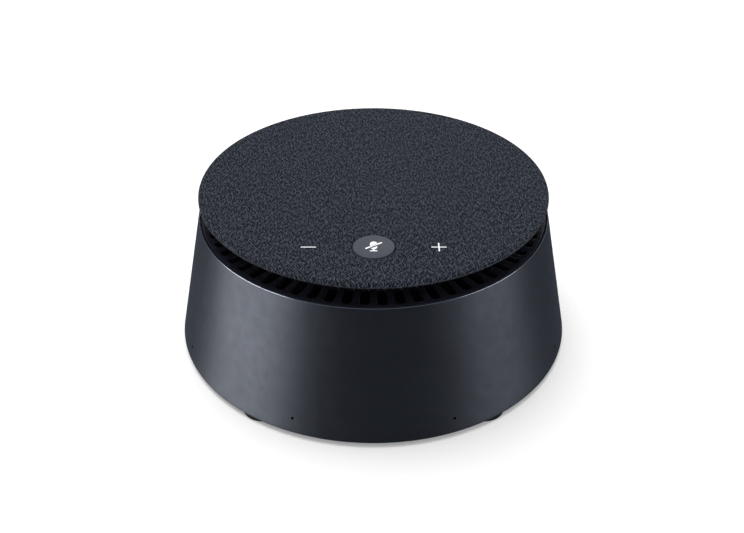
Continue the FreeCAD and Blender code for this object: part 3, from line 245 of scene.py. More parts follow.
def lamp(name, place, target, size, power):
    """A rectangular lamp of the given width and height that faces a target."""
    data = bpy.data.lights.new(name, "AREA")
    data.shape = "RECTANGLE"
    data.size, data.size_y = size
    data.energy = power
    lamp_object = bpy.data.objects.new(name, data)
    lamp_object.location = place
    aim = Vector(target) - Vector(place)
    lamp_object.rotation_euler = aim.to_track_quat("-Z", "Y").to_euler()
    bpy.context.scene.collection.objects.link(lamp_object)
    return lamp_object


def around(azimuth, distance, height):
    """A place at an azimuth from the front, positive towards +X."""
    angle = math.radians(azimuth)
    return (distance * math.sin(angle), -distance * math.cos(angle), height)


BAND_LAMPS = (
    lamp("left_band", around(-73.5, 1.1, -0.12), (0, 0, 0.03), (0.99, 1.0), 13.2),
    lamp("right_band", around(72, 1.3, -0.12), (0, 0, 0.03), (0.90, 1.0), 5.2),
    lamp("back_band", around(168, 1.4, 0.42), (0, 0, 0.03), (0.9, 0.6), 2.2),
)
for band_lamp in BAND_LAMPS:
    band_lamp.visible_diffuse = False
top_lamp = lamp("top_soft", (-0.25, 0.35, 1.5), (0, 0, 0), (1.4, 1.4), 19)
top_lamp.visible_glossy = False

world = bpy.data.worlds.new("studio")
bpy.context.scene.world = world
world.use_nodes = True
world_nodes, world_links = world.node_tree.nodes, world.node_tree.links
background = world_nodes["Background"]
background.inputs["Color"].default_value = (1.0, 1.0, 1.0, 1)
background.inputs["Strength"].default_value = 0.62
glossy_background = world_nodes.new("ShaderNodeBackground")
glossy_background.inputs["Color"].default_value = (0.29, 0.33, 0.42, 1)
glossy_background.inputs["Strength"].default_value = 0.43
light_path = world_nodes.new("ShaderNodeLightPath")
mix_world = world_nodes.new("ShaderNodeMixShader")
world_links.new(light_path.outputs["Is Glossy Ray"], mix_world.inputs["Fac"])
world_links.new(background.outputs[0], mix_world.inputs[1])
world_links.new(glossy_background.outputs[0], mix_world.inputs[2])
world_links.new(mix_world.outputs[0], world_nodes["World Output"].inputs["Surface"])
bpy.context.scene.view_settings.view_transform = "Standard"

# %% [markdown]
# ## Finishes
#
# Each finish is one small function. They all start from the same helper, which makes a shader whose
# plain numbers sit on its own sockets, and then add noise, weave or grain through the colour, the
# roughness and the bump. Patterns read object coordinates in metres, so a scale of 1000 is one
# repeat a millimetre.

# %% Node helpers
class Finish:
    """A material with its shader and short ways to add nodes to it."""

    def __init__(self, name, color, roughness, metallic=0.0, **sockets):
        self.material = bpy.data.materials.new(name)
        self.material.use_nodes = True
        self.tree = self.material.node_tree
        self.shader = self.tree.nodes["Principled BSDF"]
        self.shader.inputs["Base Color"].default_value = (*color, 1)
        self.shader.inputs["Roughness"].default_value = roughness
        self.shader.inputs["Metallic"].default_value = metallic
        for socket, number in sockets.items():
            self.shader.inputs[socket.replace("_", " ")].default_value = number
        self.place = self.add("ShaderNodeTexCoord").outputs["Object"]

    def add(self, kind, **settings):
        """A new node with some of its settings changed."""
        node = self.tree.nodes.new(kind)
        for key, setting in settings.items():
            setattr(node, key, setting)
        return node

    def link(self, source, target):
        """Joins an output to an input."""
        self.tree.links.new(source, target)
        return target

    def mapped(self, scale, turn):
        """The finish's coordinates, turned and stretched."""
        node = self.add("ShaderNodeMapping")
        node.inputs["Scale"].default_value = scale
        node.inputs["Rotation"].default_value = turn
        self.link(self.place, node.inputs["Vector"])
        return node.outputs["Vector"]

    def noise(self, scale, detail=3.0, roughness=0.55, vector=None):
        """Smooth noise with about one bump in a metre divided by the scale."""
        node = self.add("ShaderNodeTexNoise")
        node.inputs["Scale"].default_value = scale
        node.inputs["Detail"].default_value = detail
        node.inputs["Roughness"].default_value = roughness
        self.link(vector or self.place, node.inputs["Vector"])
        return node.outputs["Fac"]

    def math(self, operation, a, b=None):
        """One sum on two values, each of them a number or another node's output."""
        node = self.add("ShaderNodeMath", operation=operation)
        for socket, value in zip(node.inputs, (a, b)):
            if value is None:
                continue
            if isinstance(value, (int, float)):
                socket.default_value = value
            else:
                self.link(value, socket)
        return node.outputs[0]

    def between(self, source, low, high, to_low, to_high):
        """The source's range from low to high, mapped onto another range."""
        node = self.add("ShaderNodeMapRange")
        for socket, value in zip(("From Min", "From Max", "To Min", "To Max"), (low, high, to_low, to_high)):
            node.inputs[socket].default_value = value
        self.link(source, node.inputs["Value"])
        return node.outputs["Result"]

    def ramp(self, source, stops):
        """A colour for each value of the source, smooth between the stops."""
        node = self.add("ShaderNodeValToRGB")
        elements = node.color_ramp.elements
        while len(elements) < len(stops):
            elements.new(0.5)
        for element, (position, color) in zip(elements, stops):
            element.position = position
            element.color = (*color, 1)
        self.link(source, node.inputs["Fac"])
        return node.outputs["Color"]

    def color(self, source):
        """Lets a node's output give the colour."""
        self.link(source, self.shader.inputs["Base Color"])

    def roughness(self, source):
        """Lets a node's output give the roughness."""
        self.link(source, self.shader.inputs["Roughness"])

    def bump(self, source, depth, strength=1.0):
        """Raises the surface by the source, in metres of depth. Calls add up."""
        node = self.add("ShaderNodeBump")
        node.inputs["Strength"].default_value = strength
        node.inputs["Distance"].default_value = depth
        self.link(source, node.inputs["Height"])
        normal = self.shader.inputs["Normal"]
        if normal.is_linked:
            self.link(normal.links[0].from_socket, node.inputs["Normal"])
        self.link(node.outputs["Normal"], normal)


def shades(color, spread):
    """A darker and a lighter copy of a colour."""
    return tuple(c * (1 - spread) for c in color), tuple(min(1.0, c * (1 + spread)) for c in color)


def grained(name, color, roughness, metallic=0.0, grain=4000, depth=0.00002, spread=0.12, **sockets):
    """A finish with fine even grain: moulded plastic, rubber, paint or plated steel."""
    rough_spread = 0.08
    finish = Finish(name, color, roughness, metallic, **sockets)
    dark, light = shades(color, spread)
    finish.color(finish.ramp(finish.noise(grain / 12, 4), [(0.3, dark), (0.7, light)]))
    finish.roughness(finish.between(finish.noise(grain / 30, 3), 0.3, 0.7,
                                    roughness - rough_spread, roughness + rough_spread))
    finish.bump(finish.noise(grain, 2, 0.6), depth)
    return finish


# %% [markdown]
# ### Satin metal of the housing
#
# The housing is anodised after fine blasting. The surface is dark, its highlights are broad, and
# very close up it sparkles a little, because each blasted dimple catches light on its own.

# %% Satin metal
def satin_metal():
    """Dark metal with slow clouds in its colour and fine blasted grain in its bump."""
    color = (0.050, 0.054, 0.064)
    finish = Finish("satin_metal", color, 0.42, 0.92)
    dark, light = shades(color, 0.08)
    cloud = finish.noise(38, 3)
    finish.color(finish.ramp(cloud, [(0.3, dark), (0.7, light)]))
    sparkle = finish.noise(5200, 2, 0.7)
    finish.roughness(finish.between(finish.noise(240, 4), 0.3, 0.7, 0.39, 0.46))
    finish.bump(sparkle, 0.000012)
    return finish.material


def polished_edge():
    """The rounded edge of the rim: the same metal, bright because it was turned after blasting."""
    color = (0.46, 0.49, 0.54)
    finish = Finish("polished_edge", color, 0.2, 1.0)
    dark, light = shades(color, 0.1)
    finish.color(finish.ramp(finish.noise(600, 3), [(0.3, dark), (0.7, light)]))
    finish.roughness(finish.between(finish.noise(900, 3), 0.3, 0.7, 0.16, 0.26))
    finish.bump(finish.noise(3000, 2), 0.000003)
    return finish.material


# %% [markdown]
# ### Woven cloth of the table
#
# The cloth is a tight weave of charcoal yarns of slightly different shades. A yarn shows as a short
# fleck, long along itself and narrow across, so a noise that is stretched one way stands for it. Two
# such noises at right angles give warp and weft, and a fine grid of ridges, bent by a slow noise, lets
# them take turns in lying on top. The colour follows the same height: the low places between the
# ridges are darkened as painted shade and their crests lightened as painted light, while the flecks
# and fibres are the yarns' own shades. The pattern reads the cloth's own map, on which it lies flat.

# %% Woven cloth
def ridges(finish, split, direction, spacing):
    """Sine ridges of one spacing, with the crests across the given direction."""
    angle = math.radians(direction)
    turns = 2 * math.pi / spacing
    x = finish.math("MULTIPLY", split.outputs["X"], turns * math.cos(angle))
    y = finish.math("MULTIPLY", split.outputs["Y"], turns * math.sin(angle))
    return finish.math("SINE", finish.math("ADD", x, y))


def woven_cloth():
    """Charcoal cloth: ridges, flecks and fibres added up, which give the colour and the bump. In the colour,
    the ridges' low places are painted shade and their crests painted light; the flecks and fibres are the
    yarns' own shades.
    """
    finish = Finish("woven_cloth", (0.016, 0.018, 0.024), 0.9, 0.0,
                    Sheen_Weight=0.05, Sheen_Roughness=0.5, Specular_IOR_Level=0.1)
    finish.place = finish.add("ShaderNodeUVMap", uv_map="flat_cloth").outputs["UV"]
    wander = finish.add("ShaderNodeTexNoise")
    wander.inputs["Scale"].default_value = 430
    wander.inputs["Detail"].default_value = 3
    finish.link(finish.place, wander.inputs["Vector"])
    shift = finish.add("ShaderNodeVectorMath", operation="MULTIPLY_ADD")
    finish.link(wander.outputs["Color"], shift.inputs[0])
    shift.inputs[1].default_value = (0.0011, 0.0011, 0)
    finish.link(finish.place, shift.inputs[2])
    split = finish.add("ShaderNodeSeparateXYZ")
    finish.link(shift.outputs[0], split.inputs[0])
    weave = finish.between(finish.math("ADD", ridges(finish, split, -51, 0.00112),
                                       ridges(finish, split, 31, 0.00098)), -2, 2, 0, 1)
    flecks = finish.math("MAXIMUM", *[
        finish.noise(1.0, 2, 0.6, finish.mapped(scale=(1600, 560, 1), turn=(0, 0, math.radians(turn))))
        for turn in (51, -31)])
    fibre = finish.noise(3600, 3, 0.65)
    height = finish.math("ADD", finish.math("MULTIPLY", weave, 0.42), finish.math("MULTIPLY", fibre, 0.30))
    flecks = finish.between(flecks, 0.43, 0.71, 0, 1)
    height = finish.math("ADD", height, finish.math("MULTIPLY", flecks, 0.80))
    # Painted shade and light: the weave's low places are darkened and its crests lightened; the flecks and
    # fibres add the yarns' own shades.
    finish.color(finish.ramp(height, [
        (0.38, (0.0012, 0.0016, 0.0030)),
        (0.66, (0.0115, 0.0140, 0.0215)),
        (1.00, (0.0600, 0.0700, 0.0930)),
    ]))
    finish.bump(height, 0.00025, 0.9)
    return finish.material


# %% [markdown]
# ### Plastics, rubber and small metal parts
#
# The slotted ring is glossy, so its roughness is low and its bump is a slow, shallow wave like real
# moulded parts show. The others are variations of the grained finish.

# %% Other finishes
def gloss_black():
    """Glossy plastic under a thin clear coat."""
    finish = Finish("gloss_black", (0.014, 0.015, 0.023), 0.16, 0.0, Coat_Weight=0.3, Coat_Roughness=0.08)
    finish.color(finish.ramp(finish.noise(200, 4), [
        (0.3, (0.012, 0.013, 0.020)), (0.7, (0.017, 0.018, 0.028))]))
    finish.roughness(finish.between(finish.noise(700, 4), 0.35, 0.65, 0.12, 0.24))
    finish.bump(finish.noise(90, 2), 0.00002)
    return finish.material


def white_light_guide():
    """Milky white plastic that is lit a little from behind."""
    finish = Finish("white_light_guide", (0.88, 0.89, 0.93), 0.45)
    finish.shader.inputs["Emission Color"].default_value = (0.92, 0.94, 1.0, 1)
    finish.shader.inputs["Emission Strength"].default_value = 0.05
    finish.color(finish.ramp(finish.noise(900, 3), [(0.3, (0.84, 0.85, 0.89)), (0.7, (0.92, 0.93, 0.97))]))
    finish.bump(finish.noise(4000, 2), 0.000004)
    return finish.material


def circuit_board():
    """Green lacquer over copper: a network of cell edges stands for the tracks under it."""
    finish = Finish("circuit_board", (0.02, 0.11, 0.05), 0.35)
    cells = finish.add("ShaderNodeTexVoronoi", feature="DISTANCE_TO_EDGE", distance="MANHATTAN")
    cells.inputs["Scale"].default_value = 300
    finish.link(finish.place, cells.inputs["Vector"])
    finish.color(finish.ramp(cells.outputs["Distance"], [
        (0.05, (0.05, 0.20, 0.09)), (0.12, (0.015, 0.085, 0.04)), (0.6, (0.012, 0.07, 0.033))]))
    finish.bump(cells.outputs["Distance"], 0.00003, 0.5)
    return finish.material


def ribbon_film():
    """Amber film with thin copper lines along it."""
    finish = Finish("ribbon_film", (0.5, 0.25, 0.05), 0.3)
    split = finish.add("ShaderNodeSeparateXYZ")
    finish.link(finish.place, split.inputs[0])
    line = finish.math("SINE", finish.math("MULTIPLY", split.outputs["X"], 2 * math.pi / 0.001))
    finish.color(finish.ramp(finish.between(line, -1, 1, 0, 1), [
        (0.4, (0.34, 0.13, 0.02)), (0.55, (0.62, 0.33, 0.10))]))
    finish.bump(line, 0.00004)
    return finish.material


def spider_cloth():
    """Resin-dipped cloth: an open weave under a thin hard coat."""
    finish = Finish("spider_cloth", (0.55, 0.38, 0.16), 0.6)
    split = finish.add("ShaderNodeSeparateXYZ")
    finish.link(finish.place, split.inputs[0])
    turns = 2 * math.pi / 0.0006
    weave = finish.math("MULTIPLY",
                        finish.math("SINE", finish.math("MULTIPLY", split.outputs["X"], turns)),
                        finish.math("SINE", finish.math("MULTIPLY", split.outputs["Y"], turns)))
    finish.color(finish.ramp(finish.between(weave, -1, 1, 0, 1), [
        (0.3, (0.30, 0.19, 0.07)), (0.7, (0.60, 0.42, 0.19))]))
    finish.bump(weave, 0.00008)
    return finish.material


BLACK = (0.020, 0.021, 0.024)
finishes = {
    "housing_metal": satin_metal(),
    "gloss_black": gloss_black(),
    "matt_black": grained("matt_black", BLACK, 0.55).material,
    "table_fabric": woven_cloth(),
    "button_grey": grained("button_grey", (0.058, 0.063, 0.080), 0.5, depth=0.000006, spread=0.05).material,
    "white_inlay": white_light_guide(),
    "black_rubber": grained("black_rubber", (0.012, 0.012, 0.013), 0.82, grain=2600, depth=0.00004,
                           Specular_IOR_Level=0.2).material,
    "board_green": circuit_board(),
    "screw_steel": grained("screw_steel", (0.36, 0.36, 0.37), 0.36, 1.0, depth=0.000004).material,
    "bright_steel": grained("bright_steel", (0.60, 0.60, 0.61), 0.28, 1.0, depth=0.000004).material,
    "magnet_black": grained("magnet_black", (0.05, 0.05, 0.055), 0.6, 0.2,
                            grain=2500, depth=0.00005).material,
    "copper": grained("copper", (0.72, 0.36, 0.20), 0.32, 1.0, depth=0.000004).material,
    "mic_brass": grained("mic_brass", (0.78, 0.62, 0.32), 0.3, 1.0, depth=0.000004).material,
    "basket_metal": grained("basket_metal", (0.03, 0.03, 0.032), 0.4, 0.5).material,
    "cone_paper": grained("cone_paper", (0.03, 0.03, 0.03), 0.9,
                          grain=1800, depth=0.00008, spread=0.25).material,
    "spider_cloth": spider_cloth(),
    "chip_black": grained("chip_black", (0.03, 0.03, 0.032), 0.5, grain=5000).material,
    "ribbon_amber": ribbon_film(),
}
edge_finish = polished_edge()
print(len(finishes), "finishes")

# %% Give every CAD node its finish
slot_of = {part["node"]: part["material_slot"] for part in frame["record"]["subparts"]}
for node_name, node in nodes.items():
    node.data.materials.clear()
    node.data.materials.append(finishes[slot_of[node_name]])


def finished(piece, body, slot, *replaced):
    """Puts a finish on a new piece, lets it ride and hides the CAD nodes it stands for."""
    if not piece.data.materials:
        piece.data.materials.append(finishes[slot])
    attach(piece, body)
    if replaced:
        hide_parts(*replaced)
    volume = volume_of(piece)
    print(f"{piece.name}: {len(piece.data.polygons)} faces, volume {volume * 1e9:.1f} mm3")
    return piece


# %% [markdown]
# ## Housing
#
# The housing could stay as the CAD mesh, but its highlights are long and soft, and every flat facet
# would show in them. Here the wall is one profile carried round in many fine steps, with a small
# radius at the foot and a bright turned radius at the rim. The holes are cut with a Boolean.

# %% Housing wall
SHELL_STEPS = 720
RIM_ROUND = 0.25 * MM
FOOT_EDGE_ROUND = 0.4 * MM
HEEL = 0.2 * MM
LIP_BREAK = 0.08 * MM
LEDGE = 0.9 * MM
SKIRT_WALL = 1.4 * MM
LOWER_LEDGE_Z = edge_z + 2.6 * MM
LOWER_LEDGE_REACH = 2.5 * MM
tilt = math.atan(taper)


def inside_wall(z):
    """A point on the inside of the wall at a height."""
    return (shell_radius(z) - wall, z)


foot_centre = (shell_radius(edge_z + FOOT_EDGE_ROUND) - FOOT_EDGE_ROUND / math.cos(tilt),
               edge_z + FOOT_EDGE_ROUND)
lower_ledge = inside_wall(LOWER_LEDGE_Z)[0] - LOWER_LEDGE_REACH
skirt_inner = deck_radius - SKIRT_WALL
profile = np.vstack([
    [inside_wall(edge_z + HEEL), (base_radius - wall + HEEL, edge_z)],
    arc(foot_centre, FOOT_EDGE_ROUND, -90, math.degrees(tilt), 8),
    [(shell_radius(edge_z + (rim_z - edge_z) * part), edge_z + (rim_z - edge_z) * part)
     for part in (0.03, 0.25, 0.5, 0.75, 0.97)],
    arc((shell_radius(rim_z - RIM_ROUND) - RIM_ROUND / math.cos(tilt), rim_z - RIM_ROUND), RIM_ROUND,
        math.degrees(tilt), 90, 7),
    [(rim_radius - rim_lip + LIP_BREAK, rim_z), (rim_radius - rim_lip, rim_z - LIP_BREAK)],
    [(shell_radius(skirt_z) - rim_lip, skirt_z), (skirt_inner, skirt_z), (skirt_inner, skirt_z - LEDGE)],
    [inside_wall(skirt_z - LEDGE), inside_wall(LOWER_LEDGE_Z + LEDGE)],
    [(lower_ledge, LOWER_LEDGE_Z + LEDGE), (lower_ledge, LOWER_LEDGE_Z), inside_wall(LOWER_LEDGE_Z)],
])
housing = turned_piece("housing_wall", profile, SHELL_STEPS)

socket_low, socket_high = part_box("socket_trim")
mic_z = edge_z + 6.2 * MM
MIC_COUNT = 8
MIC_RADIUS = 0.6 * MM
CUT_INWARD = 6 * MM
PORT_CUT_INWARD = 12 * MM
CUT_PAST = 4 * MM


def cutter_tube(name, radius, start, end, steps=32):
    """A closed cylinder between two points, used only for cutting."""
    start, end = Vector(start), Vector(end)
    axis = (end - start).normalized()
    side = axis.cross(Vector((0, 0, 1))).normalized()
    up = side.cross(axis)
    turns = np.linspace(0, 2 * np.pi, steps, endpoint=False)
    ring = np.outer(np.cos(turns), side) + np.outer(np.sin(turns), up)
    points = np.vstack([np.array(start) + radius * ring, np.array(end) + radius * ring])
    faces = grid_faces(2, steps, close_columns=True).tolist()
    faces += [list(range(steps))[::-1], list(range(steps, 2 * steps))]
    return outward(mesh_from(name, points, faces))


def rounded_outline(half_x, half_z, corner, steps=8):
    """Points round a rectangle with round corners: a quarter circle about each corner's centre."""
    turn = np.radians(np.linspace(0, 90, steps))
    quarters = [turn + quarter * np.pi / 2 for quarter in range(4)]
    signs = [(1, 1), (-1, 1), (-1, -1), (1, -1)]
    return np.concatenate([
        np.stack([sign_x * (half_x - corner) + corner * np.cos(angle),
                  sign_z * (half_z - corner) + corner * np.sin(angle)], axis=1)
        for angle, (sign_x, sign_z) in zip(quarters, signs)])


def prism_along_y(name, outline, z, start, end):
    """A closed bar of the outline's section that runs along Y."""
    ends = [np.stack([outline[:, 0], np.full(len(outline), y), outline[:, 1] + z], axis=1)
            for y in (start, end)]
    faces = grid_faces(2, len(outline), close_columns=True).tolist()
    faces += [list(range(len(outline)))[::-1], list(range(len(outline), 2 * len(outline)))]
    return outward(mesh_from(name, np.vstack(ends), faces))


cutters = []
for index in range(MIC_COUNT):
    azimuth = 360 / MIC_COUNT * (index + 0.5)
    cutters.append(cutter_tube(f"mic_cutter_{index}", MIC_RADIUS,
                               around(azimuth, base_radius - CUT_INWARD, mic_z),
                               around(azimuth, base_radius + CUT_PAST, mic_z)))


def joined(name, parts):
    """One mesh object from several, with the originals removed."""
    work = bmesh.new()
    for part in parts:
        work.from_mesh(part.data)
        bpy.data.objects.remove(part)
    mesh = bpy.data.meshes.new(name)
    work.to_mesh(mesh)
    work.free()
    piece = bpy.data.objects.new(name, mesh)
    bpy.context.scene.collection.objects.link(piece)
    return piece


PORT_CORNER = 3.4 * MM
PORT_GAP = 0.1 * MM
port_half_x = (socket_high.x - socket_low.x) / 2 + PORT_GAP
port_half_z = (socket_high.z - socket_low.z) / 2 + PORT_GAP
cutters.append(prism_along_y("port_cutter", rounded_outline(port_half_x, port_half_z, PORT_CORNER),
                             (socket_low.z + socket_high.z) / 2,
                             base_radius - PORT_CUT_INWARD, base_radius + CUT_PAST))
cutter = joined("housing_cutter", cutters)
housing.data.materials.append(finishes["housing_metal"])
housing.data.materials.append(edge_finish)


def cut(piece, tool):
    """Subtracts the tool from the piece and removes the tool."""
    modifier = piece.modifiers.new("holes", "BOOLEAN")
    modifier.operation = "DIFFERENCE"
    modifier.solver = "EXACT"
    modifier.object = tool
    graph = bpy.context.evaluated_depsgraph_get()
    result = bpy.data.meshes.new_from_object(piece.evaluated_get(graph))
    piece.modifiers.clear()
    old = piece.data
    piece.data = result
    bpy.data.meshes.remove(old)
    bpy.data.objects.remove(tool)
    piece.data.set_sharp_from_angle(angle=math.radians(25))


cut(housing, cutter)
centres = np.empty(len(housing.data.polygons) * 3)
housing.data.polygons.foreach_get("center", centres)
centres = centres.reshape(-1, 3)
normals = np.empty(len(housing.data.polygons) * 3)
housing.data.polygons.foreach_get("normal", normals)
facing_up = normals.reshape(-1, 3)[:, 2]
on_rim = (centres[:, 2] > rim_z - RIM_ROUND) & (facing_up > 0.2) & (facing_up < 0.99)
housing.data.polygons.foreach_set("material_index", on_rim.astype(np.int32))
finished(housing, "housing", "housing_metal", "body_shell")

# %% [markdown]
# ## Slotted ring
#
# All slots are the same, so one slice of the ring is worked out and repeated. A slot is every point
# within a fixed distance of a short line along the radius. For each point on the slice's border, the
# nearest point of that line gives a direction, and the surface runs along it: from the border to the
# slot's rounded lip, down the slot's wall, and back to the border underneath.

# %% Slotted ring
SLOT_COUNT = 64
SLOT_WIDTH = 3.6 * MM
SLOT_CORNER = 1.3 * MM
CORNER_ZONE = 1.5 * MM
SLOT_START = hub_radius + 1.6 * MM
SLOT_END = rim_radius - 2.9 * MM
SLICE_IN = SLOT_START - 0.9 * MM
SLICE_OUT = SLOT_END + 0.38 * MM
DECK_PLATE = 2.0 * MM
SLOT_ROUND = 0.3 * MM
ARC_STEPS = 8


def slice_border():
    """Points round one slice in polar form: out along one side, round, back in, and round again. They
    lie closer together beside the slot's corners."""
    half = math.pi / SLOT_COUNT
    near, far = SLOT_START + CORNER_ZONE, SLOT_END - CORNER_ZONE
    radii = np.concatenate([np.linspace(SLICE_IN, near, 7)[:-1], np.linspace(near, far, 5)[:-1],
                            np.linspace(far, SLICE_OUT, 7)])
    turns = np.linspace(-half, half, ARC_STEPS + 1)
    side = len(radii) - 1
    radius = np.concatenate([radii[:-1], np.full(ARC_STEPS, SLICE_OUT),
                             radii[:0:-1], np.full(ARC_STEPS, SLICE_IN)])
    turn = np.concatenate([np.full(side, -half), turns[:-1], np.full(side, half), turns[:0:-1]])
    return np.stack([radius * np.cos(turn), radius * np.sin(turn)], axis=1)


def slot_slice(top):
    """The surface of one slice, as rows of points that start and end on its border. The slot's core is
    a rectangle smaller than the slot by the corner radius. Each border point looks at the nearest
    point of the core, and its row runs along that line."""
    border = slice_border()
    half_core = SLOT_WIDTH / 2 - SLOT_CORNER
    core = np.stack([np.clip(border[:, 0], SLOT_START + SLOT_CORNER, SLOT_END - SLOT_CORNER),
                     np.clip(border[:, 1], -half_core, half_core)], axis=1)
    away = border - core
    reach = np.linalg.norm(away, axis=1, keepdims=True)
    away = away / reach
    lip_turns = np.radians(np.linspace(90, 180, 5))
    steps = [(1.0, 0.0, top), (0.5, SLOT_ROUND / 2, top)]
    steps += [(0.0, SLOT_ROUND + SLOT_ROUND * math.cos(a), top - SLOT_ROUND + SLOT_ROUND * math.sin(a))
              for a in lip_turns]
    under = top - DECK_PLATE
    steps += [(0.0, 0.0, under + SLOT_ROUND), (0.0, SLOT_ROUND, under), (1.0, 0.0, under)]
    rows = []
    for share, extra, z in steps:
        distance = np.minimum(SLOT_CORNER + extra + share * (reach - SLOT_CORNER), reach)
        rows.append(np.column_stack([core + away * distance, np.full(len(core), z)]))
    return np.array(rows)


one = slot_slice(deck_z)
slice_faces = grid_faces(one.shape[0], one.shape[1], close_columns=True)
turns = (np.arange(SLOT_COUNT) + 0.5) * 2 * np.pi / SLOT_COUNT
cosine, sine = np.cos(turns)[:, None], np.sin(turns)[:, None]
flat = one.reshape(-1, 3)
slices = np.stack([flat[:, 0] * cosine - flat[:, 1] * sine, flat[:, 0] * sine + flat[:, 1] * cosine,
                   np.broadcast_to(flat[:, 2], (SLOT_COUNT, len(flat)))], axis=-1)
ring_points = slices.reshape(-1, 3)
ring_faces = (slice_faces[None] + (np.arange(SLOT_COUNT) * len(flat))[:, None, None]).reshape(-1, 4)

DECK_INWARD = 12 * MM
ledge_radius = hub_radius - DECK_INWARD
outside = np.vstack([
    [(SLICE_OUT, deck_z)],
    arc((deck_radius - SLOT_ROUND, deck_z - SLOT_ROUND), SLOT_ROUND, 90, 0, 5),
    [(deck_radius, skirt_z), (skirt_inner, skirt_z), (skirt_inner, deck_z - DECK_PLATE),
     (SLICE_OUT, deck_z - DECK_PLATE)],
])
inside = np.array([(SLICE_IN, deck_z - DECK_PLATE), (ledge_radius, deck_z - DECK_PLATE),
                   (ledge_radius, deck_z), (SLICE_IN, deck_z)])
around_steps = SLOT_COUNT * ARC_STEPS
for strip in (outside, inside):
    strip_points = spun(strip, around_steps)
    strip_faces = grid_faces(len(strip), around_steps, close_columns=True, offset=len(ring_points))
    ring_points = np.vstack([ring_points, strip_points.reshape(-1, 3)])
    ring_faces = np.vstack([ring_faces, strip_faces])
slot_ring = mesh_from("slotted_ring", ring_points, ring_faces)


def weld(piece, distance):
    """Merges points that lie on each other and turns every face outwards."""
    work = bmesh.new()
    work.from_mesh(piece.data)
    bmesh.ops.remove_doubles(work, verts=work.verts, dist=distance)
    bmesh.ops.recalc_face_normals(work, faces=work.faces)
    open_edges = sum(1 for edge in work.edges if not edge.is_manifold)
    work.to_mesh(piece.data)
    work.free()
    piece.data.set_sharp_from_angle(angle=math.radians(32))
    print(piece.name, "open edges after welding:", open_edges)


WELD_WITHIN = 0.002 * MM
weld(slot_ring, WELD_WITHIN)
finished(slot_ring, "housing", "gloss_black", "sound_ring")

# %% [markdown]
# ## Table cover
#
# The cloth is one stretched disc with a hole for the button, which isn't in the middle. A disc with
# an off-centre hole has a tidy grid: the Moebius map (z + a) / (1 + a z) keeps the unit circle and
# moves a round hole from the middle to the side, and circles stay circles. The grid's rows are the
# rings of the middle-holed disc, carried through that map. A UV map holds the place of every point on
# the flat sheet, so the weave isn't stretched where the cloth rolls over the edge. The sheet is cut
# about a millimetre short all round, and is pulled over the edge to its full length.

# %% Table cover
CLOTH = 0.5 * MM
EDGE_ROUND = (table_top - table_under) / 2
COVER_STEPS = 512
COVER_ROWS = 60
SKIRT_REACH = 1.0 * MM
HOLE_GAP = 0.25 * MM
TUCK, TUCK_WIDTH = 0.28 * MM, 0.45 * MM
HEM = 4 * MM
cap_radius = (button_high.x - button_low.x) / 2 - SKIRT_REACH
hole_radius = cap_radius + HOLE_GAP
flat_radius = table_radius - EDGE_ROUND


def off_centre_rings(radius, hole, hole_y, rows, steps):
    """Rings between a hole centred on (0, hole_y) and a circle of the given radius about the origin."""
    near, far = (abs(hole_y) - hole) / radius, (abs(hole_y) + hole) / radius
    total, product = near + far, near * far
    shift = ((1 + product) - math.sqrt((1 + product) ** 2 - total ** 2)) / total
    inner = (far - shift) / (1 - shift * far)
    ring = np.exp(np.linspace(math.log(inner), 0, rows))[:, None]
    turn = np.exp(1j * np.linspace(0, 2 * np.pi, steps, endpoint=False))[None, :]
    plain = ring * turn
    moved = (plain + shift) / (1 + shift * plain)
    placed = moved * radius * np.exp(-1j * np.pi / 2)
    return placed


def cover_rows():
    """Rows of the cover: top face, rolled edge, hem, and back along the inside to the hole."""
    rings = off_centre_rings(flat_radius, hole_radius, button_y, COVER_ROWS, COVER_STEPS)
    gap = np.abs(rings - 1j * button_y) - hole_radius
    tuck = TUCK * np.exp(-(gap / TUCK_WIDTH) ** 2)
    top = np.stack([rings.real, rings.imag, table_top - tuck], axis=-1)
    rim = rings[-1] / flat_radius
    rows = list(top)
    middle = (table_top + table_under) / 2

    def band(radius, z):
        return np.stack([rim.real * radius, rim.imag * radius, np.full(len(rim), z)], axis=-1)

    rows.insert(-1, band(flat_radius - 0.12 * MM, table_top))
    for angle in np.radians(np.linspace(90, -90, 15)[1:]):
        rows.append(band(flat_radius + EDGE_ROUND * math.cos(angle), middle + EDGE_ROUND * math.sin(angle)))
    hem = table_radius - HEM
    rows += [band(hem, table_under), band(hem, table_under + CLOTH), band(flat_radius, table_under + CLOTH)]
    inner_round = EDGE_ROUND - CLOTH
    for angle in np.radians(np.linspace(-90, 90, 7)[1:]):
        rows.append(band(flat_radius + inner_round * math.cos(angle), middle + inner_round * math.sin(angle)))
    under = off_centre_rings(flat_radius, hole_radius, button_y, 8, COVER_STEPS)[::-1][1:]
    rows += [np.stack([ring.real, ring.imag, np.full(len(ring), table_top - CLOTH)], axis=-1)
             for ring in under]
    return np.array(rows)


rows = cover_rows()
cover_faces = grid_faces(len(rows), COVER_STEPS, close_rows=True, close_columns=True)
cover = outward(mesh_from("table_cloth", rows, cover_faces))


